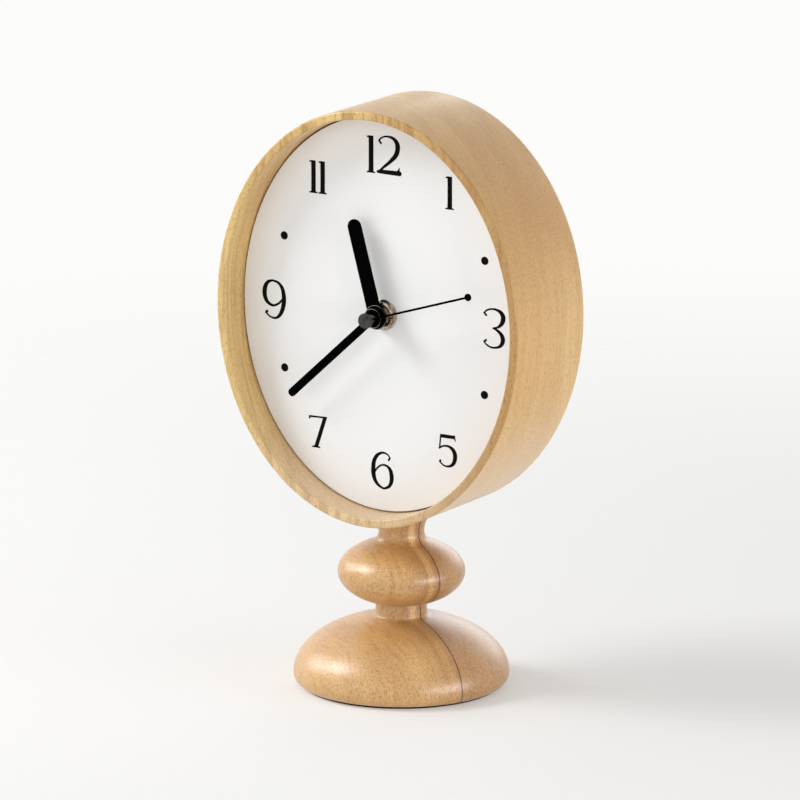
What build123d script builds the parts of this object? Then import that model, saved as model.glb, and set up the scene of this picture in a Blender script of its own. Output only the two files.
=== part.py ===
from build123d import *
from math import acos, atan2, cos, degrees, radians, sin, sqrt
import os

# A wooden desk clock: an oval drum on a turned pedestal, with a battery movement behind the dial.
# The part stands on Z = 0 with the pedestal's axis on Z. The dial faces -Y. Lengths in millimetres.

os.makedirs("parts", exist_ok=True)

# Driving sizes of the oval head
head_half_width = 70.6
head_half_height = 85.0
head_depth = 54.0
rim_wall = 3.6
rear_wall = 6.0
front_edge_round = 0.9
front_bore_round = 0.7
rear_edge_round = 2.5
rear_bore_round = 1.0
dial_recess = 14.3

# Dial and the board behind it
dial_thickness = 2.0
dial_edge_gap = 0.6
board_thickness = 5.0
glue_gap = 0.05
overrun = 2.0

# Turned pedestal: base, lower neck, bulb and upper neck
pad_thickness = 1.2
pad_inset = 4.0
base_radius = 44.0
base_foot_inset = 2.4
base_widest_z = 5.2
base_dome_rise = 24.2
lower_neck_radius = 10.5
bulb_radius = 25.95
bulb_half_height = 13.85
lower_neck_height = 4.15
upper_neck_radius = 9.3
upper_neck_rise = 2.65
stem_top_rise = 7.1
bulb_shoulder = 2.5
stem_flare = 4.6

# Joint between head and pedestal
block_width = 34.0
block_depth = 20.0
block_height = 12.0
block_front_gap = 1.5
screw_radius = 2.4
screw_head_radius = 4.8
screw_head_height = 3.0
screw_socket_radius = 1.7
screw_socket_depth = 1.8
screw_depth_in_stem = 24.0
screw_point = 4.0
stem_washer_margin = 1.6
stem_washer_thickness = 1.2
dowel_radius = 1.9
dowel_wall = 1.15
dowel_in_stem = 12.0
dowel_in_block = 7.0
dowel_end_gap = 0.5
fit_gap = 0.05
stem_to_board_gap = 0.1

# Stack of the hands, measured forward of the dial's face
dial_washer_margin = 0.7
dial_washer_thickness = 0.7
nut_wall = 1.7
nut_thickness = 2.2
nut_edge = 0.4
nut_slot_width = 1.2
nut_slot_depth = 0.9
bushing_past_nut = 0.7
hour_hand_reach = 40.4
hour_hand_width = 6.4
hour_hand_hub = 5.0
hour_hand_step = 2.4
minute_hand_reach = 53.5
minute_hand_width = 3.4
minute_hand_hub = 4.0
minute_hand_step = 2.4
hand_thickness = 0.5
hand_collar = 0.6
hand_collar_wall = 1.1
second_hand_length = 49.0
second_hand_radius = 0.45
second_hand_disc = 1.5
second_hand_disc_thickness = 0.5
second_hand_step = 3.8
second_tube_radius = 1.2
second_tube_gap = 0.4
second_cap_radius = 3.15
second_cap_thickness = 1.5
second_cap_edge = 0.3
hour_angle = 344.5
minute_angle = 227.7
second_angle = 72.6

# Shafts and pipes of the movement
second_arbor_radius = 0.45
second_arbor_gap = 0.07
minute_pipe_radius = 1.7
hour_pipe_radius = 2.6
pipe_gap = 0.08
pipe_end = 0.6
bushing_radius = 3.9
bushing_flange_margin = 1.6
bushing_flange = 0.8
board_hole_gap = 0.4
gasket_radius = 12.0
gasket_thickness = 0.8

# Movement case
case_wall = 1.2
room_top_gap = 1.0
room_floor_drop = 18.3
room_rear_gap = 0.3
case_corner = 2.0
plate_gap = 0.1
post_radius = 1.5
post_inset = 2.8
movement_screw_radius = 0.7
movement_screw_head = 1.3
movement_screw_head_height = 0.6
movement_screw_grip = 3.0
bridge_thickness = 1.2

# Battery and its contacts
battery_radius = 7.25
battery_can_length = 49.2
battery_nub_radius = 2.75
battery_nub_length = 1.3
battery_edge = 0.5
bay_gap = 0.4
contact_thickness = 0.3
contact_width = 6.0
contact_rise = 14.0
contact_gap = 0.25
contact_cone_tip_radius = 2.4
contact_cone_length = 2.0

# Wheel train: teeth, modules and layers
wheel_thickness = 0.8
layer_gap = 0.5
arbor_radius = 0.35
pivot_gap = 0.05
pivot_depth = 0.6
motion_arbor_radius = 0.5
train_distance = 9.6
motion_offset = 0.2
rotor_distance = 7.28
third_angle = 90.0
intermediate_angle = -10.0
motion_angle = 190.0
rotor_angle = -20.0
rotor_pinion_teeth = 8
intermediate_wheel_teeth = 48
intermediate_pinion_teeth = 8
second_wheel_teeth = 40
second_pinion_teeth = 8
third_wheel_teeth = 60
third_pinion_teeth = 8
minute_wheel_teeth = 64
cannon_pinion_teeth = 10
motion_wheel_teeth = 30
motion_pinion_teeth = 10
hour_wheel_teeth = 40
clutch_radius = 1.3

# Wheel layers, counted from the case floor
hour_layer = 1
cannon_layer = 2
minute_layer = 3
third_layer = 4
second_layer = 5
rotor_layer = 6
half_turn = 180

# Tooth form, as shares of the module
tip_share = 0.8
root_share = 1.15
foot_half_share = 0.80
flank_half_share = 0.60
crest_half_share = 0.26

# Step motor and circuit
magnet_radius = 3.0
magnet_length = 2.0
stator_thickness = 1.0
stator_gap = 0.5
stator_border = 1.6
stator_arm = 2.4
coil_top_gap = 4.9
stator_arbor_gap = 0.7
stator_side_gap = 1.1
coil_radius = 3.3
bobbin_radius = 3.6
bobbin_flange = 0.8
bobbin_sleeve_radius = 2.1
core_height = 2.4
window_margin = 0.6
circuit_side_gap = 1.3
circuit_arbor_gap = 3.35
circuit_height = 25.0
circuit_thickness = 0.8
chip_radius = 2.5
chip_height = 1.0
crystal_radius = 1.0
crystal_length = 6.0

# Set knob on the back
knob_radius = 5.0
knob_thickness = 4.0
knob_gap = 0.6
knob_grooves = 24
knob_groove_radius = 0.4

# Radii that follow from the piece inside or beside them
base_foot_radius = base_radius - base_foot_inset
pad_radius = base_radius - pad_inset
bulb_shoulder_radius = upper_neck_radius + bulb_shoulder
stem_top_radius = upper_neck_radius + stem_flare
dowel_offset = upper_neck_radius - dowel_wall - dowel_radius
stem_washer_radius = screw_head_radius + stem_washer_margin
bushing_flange_radius = bushing_radius + bushing_flange_margin
board_hole_radius = bushing_radius + board_hole_gap
nut_radius = bushing_radius + nut_wall
dial_washer_radius = nut_radius + dial_washer_margin
motion_distance = train_distance + motion_offset

# Modules that follow from the distances between the arbors
rotor_module = 2 * rotor_distance / (rotor_pinion_teeth + intermediate_wheel_teeth)
intermediate_module = 2 * train_distance / (intermediate_pinion_teeth + second_wheel_teeth)
third_module = 2 * train_distance / (second_pinion_teeth + third_wheel_teeth)
minute_module = 2 * train_distance / (third_pinion_teeth + minute_wheel_teeth)
motion_module = 2 * motion_distance / (cannon_pinion_teeth + motion_wheel_teeth)
hour_module = 2 * motion_distance / (motion_pinion_teeth + hour_wheel_teeth)

# Heights of the pedestal and the head, from the floor
bulb_bottom_z = base_widest_z + base_dome_rise + lower_neck_height
bulb_centre_z = bulb_bottom_z + bulb_half_height
upper_neck_z = bulb_centre_z + bulb_half_height + upper_neck_rise
head_bottom_z = upper_neck_z + stem_top_rise
head_centre_z = head_bottom_z + head_half_height

# Places along Y, from the stem's axis to the front of the head and back
board_rear_y = -stem_washer_radius - stem_to_board_gap
board_front_y = board_rear_y - board_thickness
dial_face_y = board_front_y - dial_thickness
head_front_y = dial_face_y - dial_recess
head_rear_y = head_front_y + head_depth
case_front_y = board_rear_y + gasket_thickness
case_floor_y = case_front_y + case_wall
layer_step = wheel_thickness + layer_gap
bridge_front_y = case_floor_y + layer_gap + rotor_layer * layer_step
bridge_rear_y = bridge_front_y + bridge_thickness
circuit_rear_y = bridge_rear_y + circuit_thickness
crystal_rear_y = circuit_rear_y + 2 * crystal_radius
battery_rear_y = case_floor_y + bay_gap + 2 * battery_radius
case_rear_y = max(battery_rear_y, crystal_rear_y + case_wall) + room_rear_gap
case_depth = case_rear_y - case_front_y
cover_front_y = case_rear_y - case_wall

# How far the hands and the bushing stand off the dial's face
bushing_stands_out = dial_washer_thickness + nut_thickness + bushing_past_nut
hour_hand_stand = bushing_stands_out + hour_hand_step
minute_hand_stand = hour_hand_stand + minute_hand_step
second_hand_stand = minute_hand_stand + second_hand_step

# Widths along X: the bay holds the battery between its two contacts
battery_total = battery_can_length + battery_nub_length
contact_total = contact_cone_length + 2 * contact_thickness + 2 * contact_gap
room_width = battery_total + contact_total
case_width = room_width + 2 * case_wall

# Heights measured from the head's centre
third_tip_radius = (third_wheel_teeth / 2 + tip_share) * third_module
room_ceiling = train_distance + third_tip_radius + room_top_gap
room_floor = -room_floor_drop
room_centre = (room_floor + room_ceiling) / 2
room_height = room_ceiling - room_floor
bay_ceiling = room_floor - case_wall
bay_centre = bay_ceiling - bay_gap - battery_radius
bay_floor = bay_centre - battery_radius - bay_gap
case_top = room_ceiling + case_wall
case_bottom = case_wall - bay_floor
case_centre = (case_top - case_bottom) / 2


def facing(y, x=0, z=0):
    """A plane that faces the viewer at depth y, with its origin measured from the dial's centre."""
    return Plane(origin=(x, y, head_centre_z + z), x_dir=(1, 0, 0), z_dir=(0, -1, 0))


def level(z):
    """A level plane at height z, with its origin on the pedestal's axis."""
    return Plane.XY.offset(z)


def layer_y(number):
    """The front face of a wheel layer, counted from the case floor."""
    return case_floor_y + layer_gap + (number - 1) * layer_step


def polar(distance, direction):
    """A place beside the dial's centre, by distance and direction from +X towards +Z."""
    return (distance * cos(radians(direction)), distance * sin(radians(direction)))


def direction_to(start, end):
    """The direction from one arbor to another."""
    return degrees(atan2(end[1] - start[1], end[0] - start[0]))


def gear_outline(teeth, module, tooth_direction):
    """Draw a spur gear with a tooth centred on the given direction."""
    pitch_radius = teeth * module / 2
    root_radius = pitch_radius - root_share * module
    tip_radius = pitch_radius + tip_share * module
    foot = foot_half_share * module
    flank = flank_half_share * module
    crest = crest_half_share * module
    inner = root_radius * cos(asin_of(foot, root_radius)) - foot / 2
    Circle(root_radius)
    tooth = [
        (inner, -foot),
        (root_radius, -foot),
        (pitch_radius, -flank),
        (tip_radius, -crest),
        (tip_radius, crest),
        (pitch_radius, flank),
        (root_radius, foot),
        (inner, foot),
    ]
    with Locations(Rotation(0, 0, tooth_direction)):
        with PolarLocations(0, teeth):
            Polygon(*tooth, align=None)


def asin_of(side, radius):
    """The angle whose sine is side over radius."""
    return atan2(side, sqrt(radius * radius - side * side))


def gap_direction(direction, teeth):
    """The tooth direction that puts a gap, not a tooth, on the given direction."""
    return direction + half_turn / teeth


def disc(front_y, thickness, radius, place=(0, 0)):
    """A round disc in the current part, between front_y and the thickness behind it."""
    with BuildSketch(facing(front_y + thickness, *place)) as outline:
        Circle(radius)
    extrude(outline.sketch, amount=thickness)


def gear(number, teeth, module, tooth_direction, place=(0, 0)):
    """A gear in the current part, in one wheel layer."""
    with BuildSketch(facing(layer_y(number) + wheel_thickness, *place)) as outline:
        gear_outline(teeth, module, tooth_direction)
    extrude(outline.sketch, amount=wheel_thickness)


def arbor(front_y, rear_y, radius, place=(0, 0), mode=Mode.ADD):
    """A round shaft, or the hole for one, from front_y to rear_y."""
    with BuildSketch(facing(rear_y, *place)) as outline:
        Circle(radius)
    extrude(outline.sketch, amount=rear_y - front_y, mode=mode)


def oval(inset):
    """The head's oval, drawn smaller by the inset."""
    Ellipse(head_half_width - inset, head_half_height - inset)


def finish(piece, name):
    """Name a finished piece and write it to its own file."""
    piece.part.label = name
    export_step(piece.part, f"parts/{name}.step")


# Arbor places around the dial's centre
centre_place = (0, 0)
third_place = polar(train_distance, third_angle)
intermediate_place = polar(train_distance, intermediate_angle)
motion_place = polar(motion_distance, motion_angle)
rotor_step = polar(rotor_distance, rotor_angle)
rotor_place = (intermediate_place[0] + rotor_step[0], intermediate_place[1] + rotor_step[1])
post_x = room_width / 2 - post_inset
post_places = [
    (-post_x, room_floor + post_inset),
    (post_x, room_floor + post_inset),
    (-post_x, room_ceiling - post_inset),
    (post_x, room_ceiling - post_inset),
]

# Places of the joint between head and pedestal
pocket_floor_z = head_bottom_z + rear_wall
block_top_z = pocket_floor_z + block_height
block_front_y = board_rear_y + block_front_gap
dowel_bottom_z = head_bottom_z - dowel_in_stem
dowel_top_z = pocket_floor_z + dowel_in_block
dowel_places = [(-dowel_offset, 0), (dowel_offset, 0)]
screw_tip_z = head_bottom_z - screw_depth_in_stem


def stem_holes(bottom_z, top_z, dowel_low_z, dowel_high_z):
    """Cut the screw hole and the two dowel holes down through the current part."""
    with BuildSketch(level(bottom_z)) as screw_hole:
        Circle(screw_radius + fit_gap)
    extrude(screw_hole.sketch, amount=top_z - bottom_z, mode=Mode.SUBTRACT)
    with BuildSketch(level(dowel_low_z)) as dowel_holes:
        with Locations(*dowel_places):
            Circle(dowel_radius + fit_gap)
    extrude(dowel_holes.sketch, amount=dowel_high_z - dowel_low_z, mode=Mode.SUBTRACT)


# Oval drum: a front bore for the dial, and a slightly smaller rear bore for the movement
with BuildPart() as head_ring:
    with BuildSketch(facing(head_rear_y)):
        oval(0)
    extrude(amount=head_depth)
    with BuildSketch(facing(board_rear_y)):
        oval(rim_wall)
    extrude(amount=board_rear_y - head_front_y, mode=Mode.SUBTRACT)
    with BuildSketch(facing(head_rear_y)):
        oval(rear_wall)
    extrude(amount=head_rear_y - board_rear_y, mode=Mode.SUBTRACT)
    front_edges = head_ring.edges().group_by(Axis.Y)[0].sort_by(SortBy.LENGTH)
    fillet(front_edges[-1], radius=front_edge_round)
    front_edges = head_ring.edges().group_by(Axis.Y)[0].sort_by(SortBy.LENGTH)
    fillet(front_edges[0], radius=front_bore_round)
    rear_edges = head_ring.edges().group_by(Axis.Y)[-1].sort_by(SortBy.LENGTH)
    fillet(rear_edges[-1], radius=rear_edge_round)
    rear_edges = head_ring.edges().group_by(Axis.Y)[-1].sort_by(SortBy.LENGTH)
    fillet(rear_edges[0], radius=rear_bore_round)
    stem_holes(
        head_bottom_z - overrun,
        pocket_floor_z + overrun,
        head_bottom_z - overrun,
        pocket_floor_z + overrun,
    )
finish(head_ring, "head_ring")

# Pedestal: one turned piece of glued-up wood, hollowed at its top to the head's curve
dome_angle = degrees(acos(lower_neck_radius / base_radius))
bulb_low_angle = -degrees(acos(lower_neck_radius / bulb_radius))
bulb_high_angle = degrees(acos(bulb_shoulder_radius / bulb_radius))
stem_top_z = head_bottom_z + overrun
with BuildPart() as pedestal:
    with BuildSketch(Plane.XZ):
        with BuildLine():
            foot = Line((0, pad_thickness), (base_foot_radius, pad_thickness))
            TangentArc((base_radius, base_widest_z), foot @ 1, tangent=(0, -1))
            dome = EllipticalCenterArc(
                (0, base_widest_z), base_radius, base_dome_rise, arc_size=dome_angle
            )
            bulb = EllipticalCenterArc(
                (0, bulb_centre_z),
                bulb_radius,
                bulb_half_height,
                bulb_low_angle,
                arc_size=bulb_high_angle - bulb_low_angle,
            )
            Line(dome @ 1, bulb @ 0)
            waist = (upper_neck_radius, upper_neck_z)
            TangentArc(waist, bulb @ 1, tangent=(0, -1))
            flare = TangentArc(waist, (stem_top_radius, stem_top_z), tangent=(0, 1))
            Polyline(flare @ 1, (0, stem_top_z), (0, pad_thickness))
        make_face()
    revolve(axis=Axis.Z)
    with BuildSketch(facing(head_rear_y)):
        oval(-glue_gap)
    extrude(amount=head_depth, mode=Mode.SUBTRACT)
    stem_holes(
        screw_tip_z - dowel_end_gap,
        head_bottom_z + overrun,
        dowel_bottom_z - dowel_end_gap,
        head_bottom_z + overrun,
    )
finish(pedestal, "pedestal")

# Thin dark pad under the base
with BuildPart() as base_pad:
    with BuildSketch(level(0)):
        Circle(pad_radius)
    extrude(amount=pad_thickness)
finish(base_pad, "base_pad")

# Block inside the rear pocket, shaped to its floor, that takes the screw
with BuildPart() as joint_block:
    with BuildSketch(facing(block_front_y + block_depth)):
        oval(rear_wall + glue_gap)
    extrude(amount=block_depth)
    with BuildSketch(level(head_bottom_z)):
        with Locations((0, block_front_y + block_depth / 2)):
            Rectangle(block_width, block_depth)
    extrude(amount=block_top_z - head_bottom_z, mode=Mode.INTERSECT)
    stem_holes(
        head_bottom_z,
        block_top_z + overrun,
        head_bottom_z,
        dowel_top_z + dowel_end_gap,
    )
finish(joint_block, "joint_block")

# Washer and screw that pull the head down on the stem
with BuildPart() as stem_washer:
    with BuildSketch(level(block_top_z)):
        Circle(stem_washer_radius)
        Circle(screw_radius + 2 * fit_gap, mode=Mode.SUBTRACT)
    extrude(amount=stem_washer_thickness)
finish(stem_washer, "stem_washer")

screw_seat_z = block_top_z + stem_washer_thickness
with BuildPart() as stem_screw:
    with BuildSketch(Plane.XZ):
        with BuildLine():
            Polyline(
                (0, screw_tip_z),
                (screw_radius, screw_tip_z + screw_point),
                (screw_radius, screw_seat_z),
                (screw_head_radius, screw_seat_z),
                (screw_head_radius, screw_seat_z + screw_head_height / 2),
                (screw_head_radius / 2, screw_seat_z + screw_head_height),
                (0, screw_seat_z + screw_head_height),
                close=True,
            )
        make_face()
    revolve(axis=Axis.Z)
    with BuildSketch(level(screw_seat_z + screw_head_height)):
        RegularPolygon(screw_socket_radius, 6)
    extrude(amount=-screw_socket_depth, mode=Mode.SUBTRACT)
finish(stem_screw, "stem_screw")

# Two dowels that stop the head from turning on the stem
with BuildPart() as stem_dowels:
    with BuildSketch(level(dowel_bottom_z)):
        with Locations(*dowel_places):
            Circle(dowel_radius)
    extrude(amount=dowel_top_z - dowel_bottom_z)
finish(stem_dowels, "stem_dowels")

# Board glued into the front bore against its step, and the white dial glued on it
with BuildPart() as back_board:
    with BuildSketch(facing(board_rear_y)):
        oval(rim_wall + glue_gap)
        Circle(board_hole_radius, mode=Mode.SUBTRACT)
    extrude(amount=board_thickness)
finish(back_board, "back_board")

with BuildPart() as dial_plate:
    with BuildSketch(facing(board_front_y)):
        oval(rim_wall + dial_edge_gap)
        Circle(board_hole_radius, mode=Mode.SUBTRACT)
    extrude(amount=dial_thickness)
finish(dial_plate, "dial_plate")

# Clamp of the movement: gasket behind the board, washer and slotted round nut on the dial
with BuildPart() as gasket:
    with BuildSketch(facing(case_front_y)):
        Circle(gasket_radius)
        Circle(board_hole_radius, mode=Mode.SUBTRACT)
    extrude(amount=gasket_thickness)
finish(gasket, "gasket")

with BuildPart() as dial_washer:
    with BuildSketch(facing(dial_face_y)):
        Circle(dial_washer_radius)
        Circle(bushing_radius + fit_gap, mode=Mode.SUBTRACT)
    extrude(amount=dial_washer_thickness)
finish(dial_washer, "dial_washer")

nut_rear_y = dial_face_y - dial_washer_thickness
nut_front_y = nut_rear_y - nut_thickness
with BuildPart() as hand_nut:
    with BuildSketch(facing(nut_rear_y)):
        Circle(nut_radius)
    extrude(amount=nut_thickness)
    chamfer(hand_nut.edges().group_by(Axis.Y)[0], length=nut_edge)
    with BuildSketch(facing(nut_front_y + nut_slot_depth)):
        Rectangle(2 * nut_radius, nut_slot_width)
    extrude(amount=nut_slot_depth, mode=Mode.SUBTRACT)
    arbor(nut_front_y, nut_rear_y, bushing_radius + fit_gap, mode=Mode.SUBTRACT)
finish(hand_nut, "hand_nut")

# Brass bushing, its flange let into the case from inside
bushing_front_y = dial_face_y - bushing_stands_out
with BuildPart() as centre_bushing:
    disc(case_floor_y - bushing_flange, bushing_flange, bushing_flange_radius)
    arbor(bushing_front_y, case_floor_y, bushing_radius)
    arbor(bushing_front_y, case_floor_y, hour_pipe_radius + pipe_gap, mode=Mode.SUBTRACT)
finish(centre_bushing, "centre_bushing")


def hand_outline(angle, reach, width, hub_radius):
    """Draw a flat hand with a round hub and tip, turned clockwise from twelve."""
    tip_centre = reach - width / 2
    with Locations(Rotation(0, 0, -angle)):
        Circle(hub_radius)
        with Locations((0, tip_centre / 2)):
            Rectangle(width, tip_centre)
        with Locations((0, tip_centre)):
            Circle(width / 2)


def flat_hand(stand, angle, reach, width, hub_radius, pipe_radius):
    """Build a hand and its collar in the current part, with the bore for its pipe."""
    rear_y = dial_face_y - stand + hand_thickness / 2
    with BuildSketch(facing(rear_y)) as outline:
        hand_outline(angle, reach, width, hub_radius)
    extrude(outline.sketch, amount=hand_thickness)
    disc(rear_y, hand_collar, pipe_radius + hand_collar_wall)
    front_y = rear_y - hand_thickness
    arbor(front_y, rear_y + hand_collar, pipe_radius + fit_gap, mode=Mode.SUBTRACT)


with BuildPart() as hour_hand:
    flat_hand(
        hour_hand_stand,
        hour_angle,
        hour_hand_reach,
        hour_hand_width,
        hour_hand_hub,
        hour_pipe_radius,
    )
finish(hour_hand, "hour_hand")

with BuildPart() as minute_hand:
    flat_hand(
        minute_hand_stand,
        minute_angle,
        minute_hand_reach,
        minute_hand_width,
        minute_hand_hub,
        minute_pipe_radius,
    )
finish(minute_hand, "minute_hand")

# Second hand: a thin rod with a small disc at its tip, on a tube
second_plane_y = dial_face_y - second_hand_stand
second_direction = 90 - second_angle
second_tip = polar(second_hand_length, second_direction)
minute_pipe_front_y = dial_face_y - minute_hand_stand - hand_thickness / 2 - pipe_end
second_tube_rear_y = minute_pipe_front_y - second_tube_gap
second_tube_front_y = second_plane_y - 2 * second_hand_radius
rod_plane = Plane(
    origin=(0, second_plane_y, head_centre_z),
    x_dir=(0, -1, 0),
    z_dir=(cos(radians(second_direction)), 0, sin(radians(second_direction))),
)
with BuildPart() as second_hand:
    with BuildSketch(rod_plane):
        Circle(second_hand_radius)
    extrude(amount=second_hand_length)
    disc(
        second_plane_y - second_hand_disc_thickness / 2,
        second_hand_disc_thickness,
        second_hand_disc,
        second_tip,
    )
    arbor(second_tube_front_y, second_tube_rear_y, second_tube_radius)
    arbor(
        second_tube_front_y,
        second_tube_rear_y,
        second_arbor_radius + fit_gap,
        mode=Mode.SUBTRACT,
    )
finish(second_hand, "second_hand")

second_cap_rear_y = second_tube_front_y
with BuildPart() as second_hand_cap:
    disc(second_cap_rear_y - second_cap_thickness, second_cap_thickness, second_cap_radius)
    chamfer(second_hand_cap.edges().group_by(Axis.Y)[0], length=second_cap_edge)
finish(second_hand_cap, "second_hand_cap")

# Movement case: a gear room at the top, and a battery bay, open at the back, at the bottom
with BuildPart() as movement_case:
    with BuildSketch(facing(case_rear_y, 0, case_centre)):
        RectangleRounded(case_width, case_top + case_bottom, case_corner)
    extrude(amount=case_depth)
    with BuildSketch(facing(case_rear_y, 0, room_centre)):
        Rectangle(room_width, room_height)
    extrude(amount=case_depth - case_wall, mode=Mode.SUBTRACT)
    with BuildSketch(facing(case_rear_y, 0, bay_centre)):
        Rectangle(room_width, bay_ceiling - bay_floor)
    extrude(amount=case_depth - case_wall, mode=Mode.SUBTRACT)
    for place in post_places:
        arbor(case_floor_y, bridge_front_y, post_radius, place)
    for place in post_places:
        arbor(
            bridge_front_y - movement_screw_grip,
            bridge_front_y,
            movement_screw_radius + fit_gap,
            place,
            mode=Mode.SUBTRACT,
        )
    arbor(case_front_y, case_floor_y, bushing_radius + fit_gap, mode=Mode.SUBTRACT)
    arbor(
        case_floor_y - bushing_flange,
        case_floor_y,
        bushing_flange_radius + fit_gap,
        mode=Mode.SUBTRACT,
    )
    for place in (third_place, intermediate_place, rotor_place):
        arbor(
            case_floor_y - pivot_depth,
            case_floor_y,
            arbor_radius + pivot_gap,
            place,
            mode=Mode.SUBTRACT,
        )
    arbor(
        case_floor_y - pivot_depth,
        case_floor_y,
        motion_arbor_radius + pivot_gap,
        motion_place,
        mode=Mode.SUBTRACT,
    )
    slot_x = (room_width - contact_thickness - plate_gap) / 2
    battery_y = case_floor_y + battery_radius + bay_gap
    slot_z = head_centre_z + (bay_ceiling + room_floor) / 2
    with BuildSketch(level(slot_z - case_wall)):
        with Locations((-slot_x, battery_y), (slot_x, battery_y)):
            Rectangle(contact_thickness + plate_gap, contact_width + 2 * plate_gap)
    extrude(amount=2 * case_wall, mode=Mode.SUBTRACT)
finish(movement_case, "movement_case")

# Bridge that carries the rear pivots, with a window for the coil
stator_left = intermediate_place[0] + arbor_radius + stator_arbor_gap
stator_right = room_width / 2 - stator_side_gap
coil_centre_x = (stator_left + stator_right) / 2
coil_centre_z = room_ceiling - coil_top_gap - bobbin_radius
stator_front_y = layer_y(third_layer)
core_front_y = stator_front_y + stator_thickness
coil_axis_y = core_front_y + stator_thickness / 2
bobbin_length = stator_right - stator_left - 2 * stator_arm - 2 * window_margin
with BuildPart() as gear_bridge:
    with BuildSketch(facing(bridge_rear_y, 0, room_centre)):
        Rectangle(room_width - 2 * plate_gap, room_height - 2 * plate_gap)
    extrude(amount=bridge_thickness)
    for place in (third_place, intermediate_place, centre_place):
        arbor(bridge_front_y, bridge_rear_y, arbor_radius + pivot_gap, place, mode=Mode.SUBTRACT)
    arbor(
        bridge_front_y,
        bridge_rear_y,
        motion_arbor_radius + pivot_gap,
        motion_place,
        mode=Mode.SUBTRACT,
    )
    arbor(bridge_front_y, bridge_rear_y, 2 * arbor_radius, rotor_place, mode=Mode.SUBTRACT)
    for place in post_places:
        arbor(
            bridge_front_y,
            bridge_rear_y,
            movement_screw_radius + fit_gap,
            place,
            mode=Mode.SUBTRACT,
        )
    with BuildSketch(facing(bridge_rear_y, coil_centre_x, coil_centre_z)):
        Rectangle(bobbin_length + 2 * window_margin, 2 * (bobbin_radius + window_margin))
    extrude(amount=bridge_thickness, mode=Mode.SUBTRACT)
    notch_depth = 2 * (contact_thickness + plate_gap)
    notch_top = bay_centre + contact_rise + plate_gap
    with BuildSketch(facing(bridge_rear_y, 0, (room_floor + notch_top) / 2)):
        with Locations((-room_width / 2, 0), (room_width / 2, 0)):
            Rectangle(2 * notch_depth, notch_top - room_floor)
    extrude(amount=bridge_thickness, mode=Mode.SUBTRACT)
finish(gear_bridge, "gear_bridge")

# Rear cover of the gear room, with posts that press the bridge down
with BuildPart() as movement_cover:
    with BuildSketch(facing(case_rear_y, 0, room_centre)):
        Rectangle(room_width - 2 * plate_gap, room_height - 2 * plate_gap)
    extrude(amount=case_wall)
    for place in post_places:
        arbor(bridge_rear_y, cover_front_y, post_radius, place)
    for place in post_places:
        arbor(
            bridge_rear_y,
            case_rear_y,
            movement_screw_radius + fit_gap,
            place,
            mode=Mode.SUBTRACT,
        )
    arbor(
        cover_front_y,
        case_rear_y,
        motion_arbor_radius + pivot_gap,
        motion_place,
        mode=Mode.SUBTRACT,
    )
    arbor(
        cover_front_y,
        cover_front_y + pivot_depth,
        arbor_radius + pivot_gap,
        rotor_place,
        mode=Mode.SUBTRACT,
    )
finish(movement_cover, "movement_cover")

# Four screws that hold cover, bridge and case together
with BuildPart() as movement_screws:
    for place in post_places:
        arbor(bridge_front_y - movement_screw_grip / 2, case_rear_y, movement_screw_radius, place)
        disc(case_rear_y, movement_screw_head_height, movement_screw_head, place)
finish(movement_screws, "movement_screws")

# Battery, lying along X in its bay with the nub towards +X
bay_right = room_width / 2
nub_end_x = bay_right - contact_thickness - contact_gap
can_end_x = nub_end_x - battery_nub_length
can_start_x = can_end_x - battery_can_length


def upright(x):
    """A plane across X at the battery's axis, facing +X."""
    return Plane(origin=(x, battery_y, head_centre_z + bay_centre), x_dir=(0, 1, 0), z_dir=(1, 0, 0))


with BuildPart() as battery_cell:
    with BuildSketch(upright(can_start_x)):
        Circle(battery_radius)
    extrude(amount=battery_can_length)
    fillet(battery_cell.edges().filter_by(GeomType.CIRCLE), radius=battery_edge)
    with BuildSketch(upright(can_end_x)):
        Circle(battery_nub_radius)
    extrude(amount=battery_nub_length)
finish(battery_cell, "battery_cell")

# Contacts: upright strips on the bay's end walls that pass up into the gear room
strip_height = contact_width / 2 + contact_rise
strip_centre = strip_height / 2 - contact_width / 2
with BuildPart() as positive_contact:
    with BuildSketch(upright(bay_right - contact_thickness)):
        with Locations((0, strip_centre)):
            Rectangle(contact_width, strip_height)
    extrude(amount=contact_thickness)
finish(positive_contact, "positive_contact")

with BuildPart() as negative_contact:
    with BuildSketch(upright(-bay_right)):
        with Locations((0, strip_centre)):
            Rectangle(contact_width, strip_height)
    extrude(amount=contact_thickness)
    with BuildSketch(upright(contact_thickness - bay_right)):
        Circle(contact_width / 2)
    with BuildSketch(upright(can_start_x - contact_gap)):
        Circle(contact_cone_tip_radius)
    loft()
finish(negative_contact, "negative_contact")

# Circuit board on the back of the bridge, with its chip and quartz crystal
circuit_left = circuit_side_gap - room_width / 2
circuit_right = motion_place[0] - motion_arbor_radius - circuit_arbor_gap
circuit_centre_x = (circuit_left + circuit_right) / 2
with BuildPart() as circuit_board:
    with BuildSketch(facing(circuit_rear_y, circuit_centre_x, room_centre)):
        Rectangle(circuit_right - circuit_left, circuit_height)
    extrude(amount=circuit_thickness)
finish(circuit_board, "circuit_board")

chip_z = room_centre - circuit_height / 4
with BuildPart() as chip:
    disc(circuit_rear_y, chip_height, chip_radius, (circuit_centre_x, chip_z))
    fillet(chip.edges().group_by(Axis.Y)[-1], radius=chip_height / 2)
finish(chip, "chip")

crystal_z = room_centre + circuit_height / 4
crystal_plane = Plane.XY.offset(head_centre_z + crystal_z - crystal_length / 2)
with BuildPart() as quartz_crystal:
    with BuildSketch(crystal_plane):
        with Locations((circuit_centre_x, circuit_rear_y + crystal_radius)):
            Circle(crystal_radius)
    extrude(amount=crystal_length)
finish(quartz_crystal, "quartz_crystal")

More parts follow.
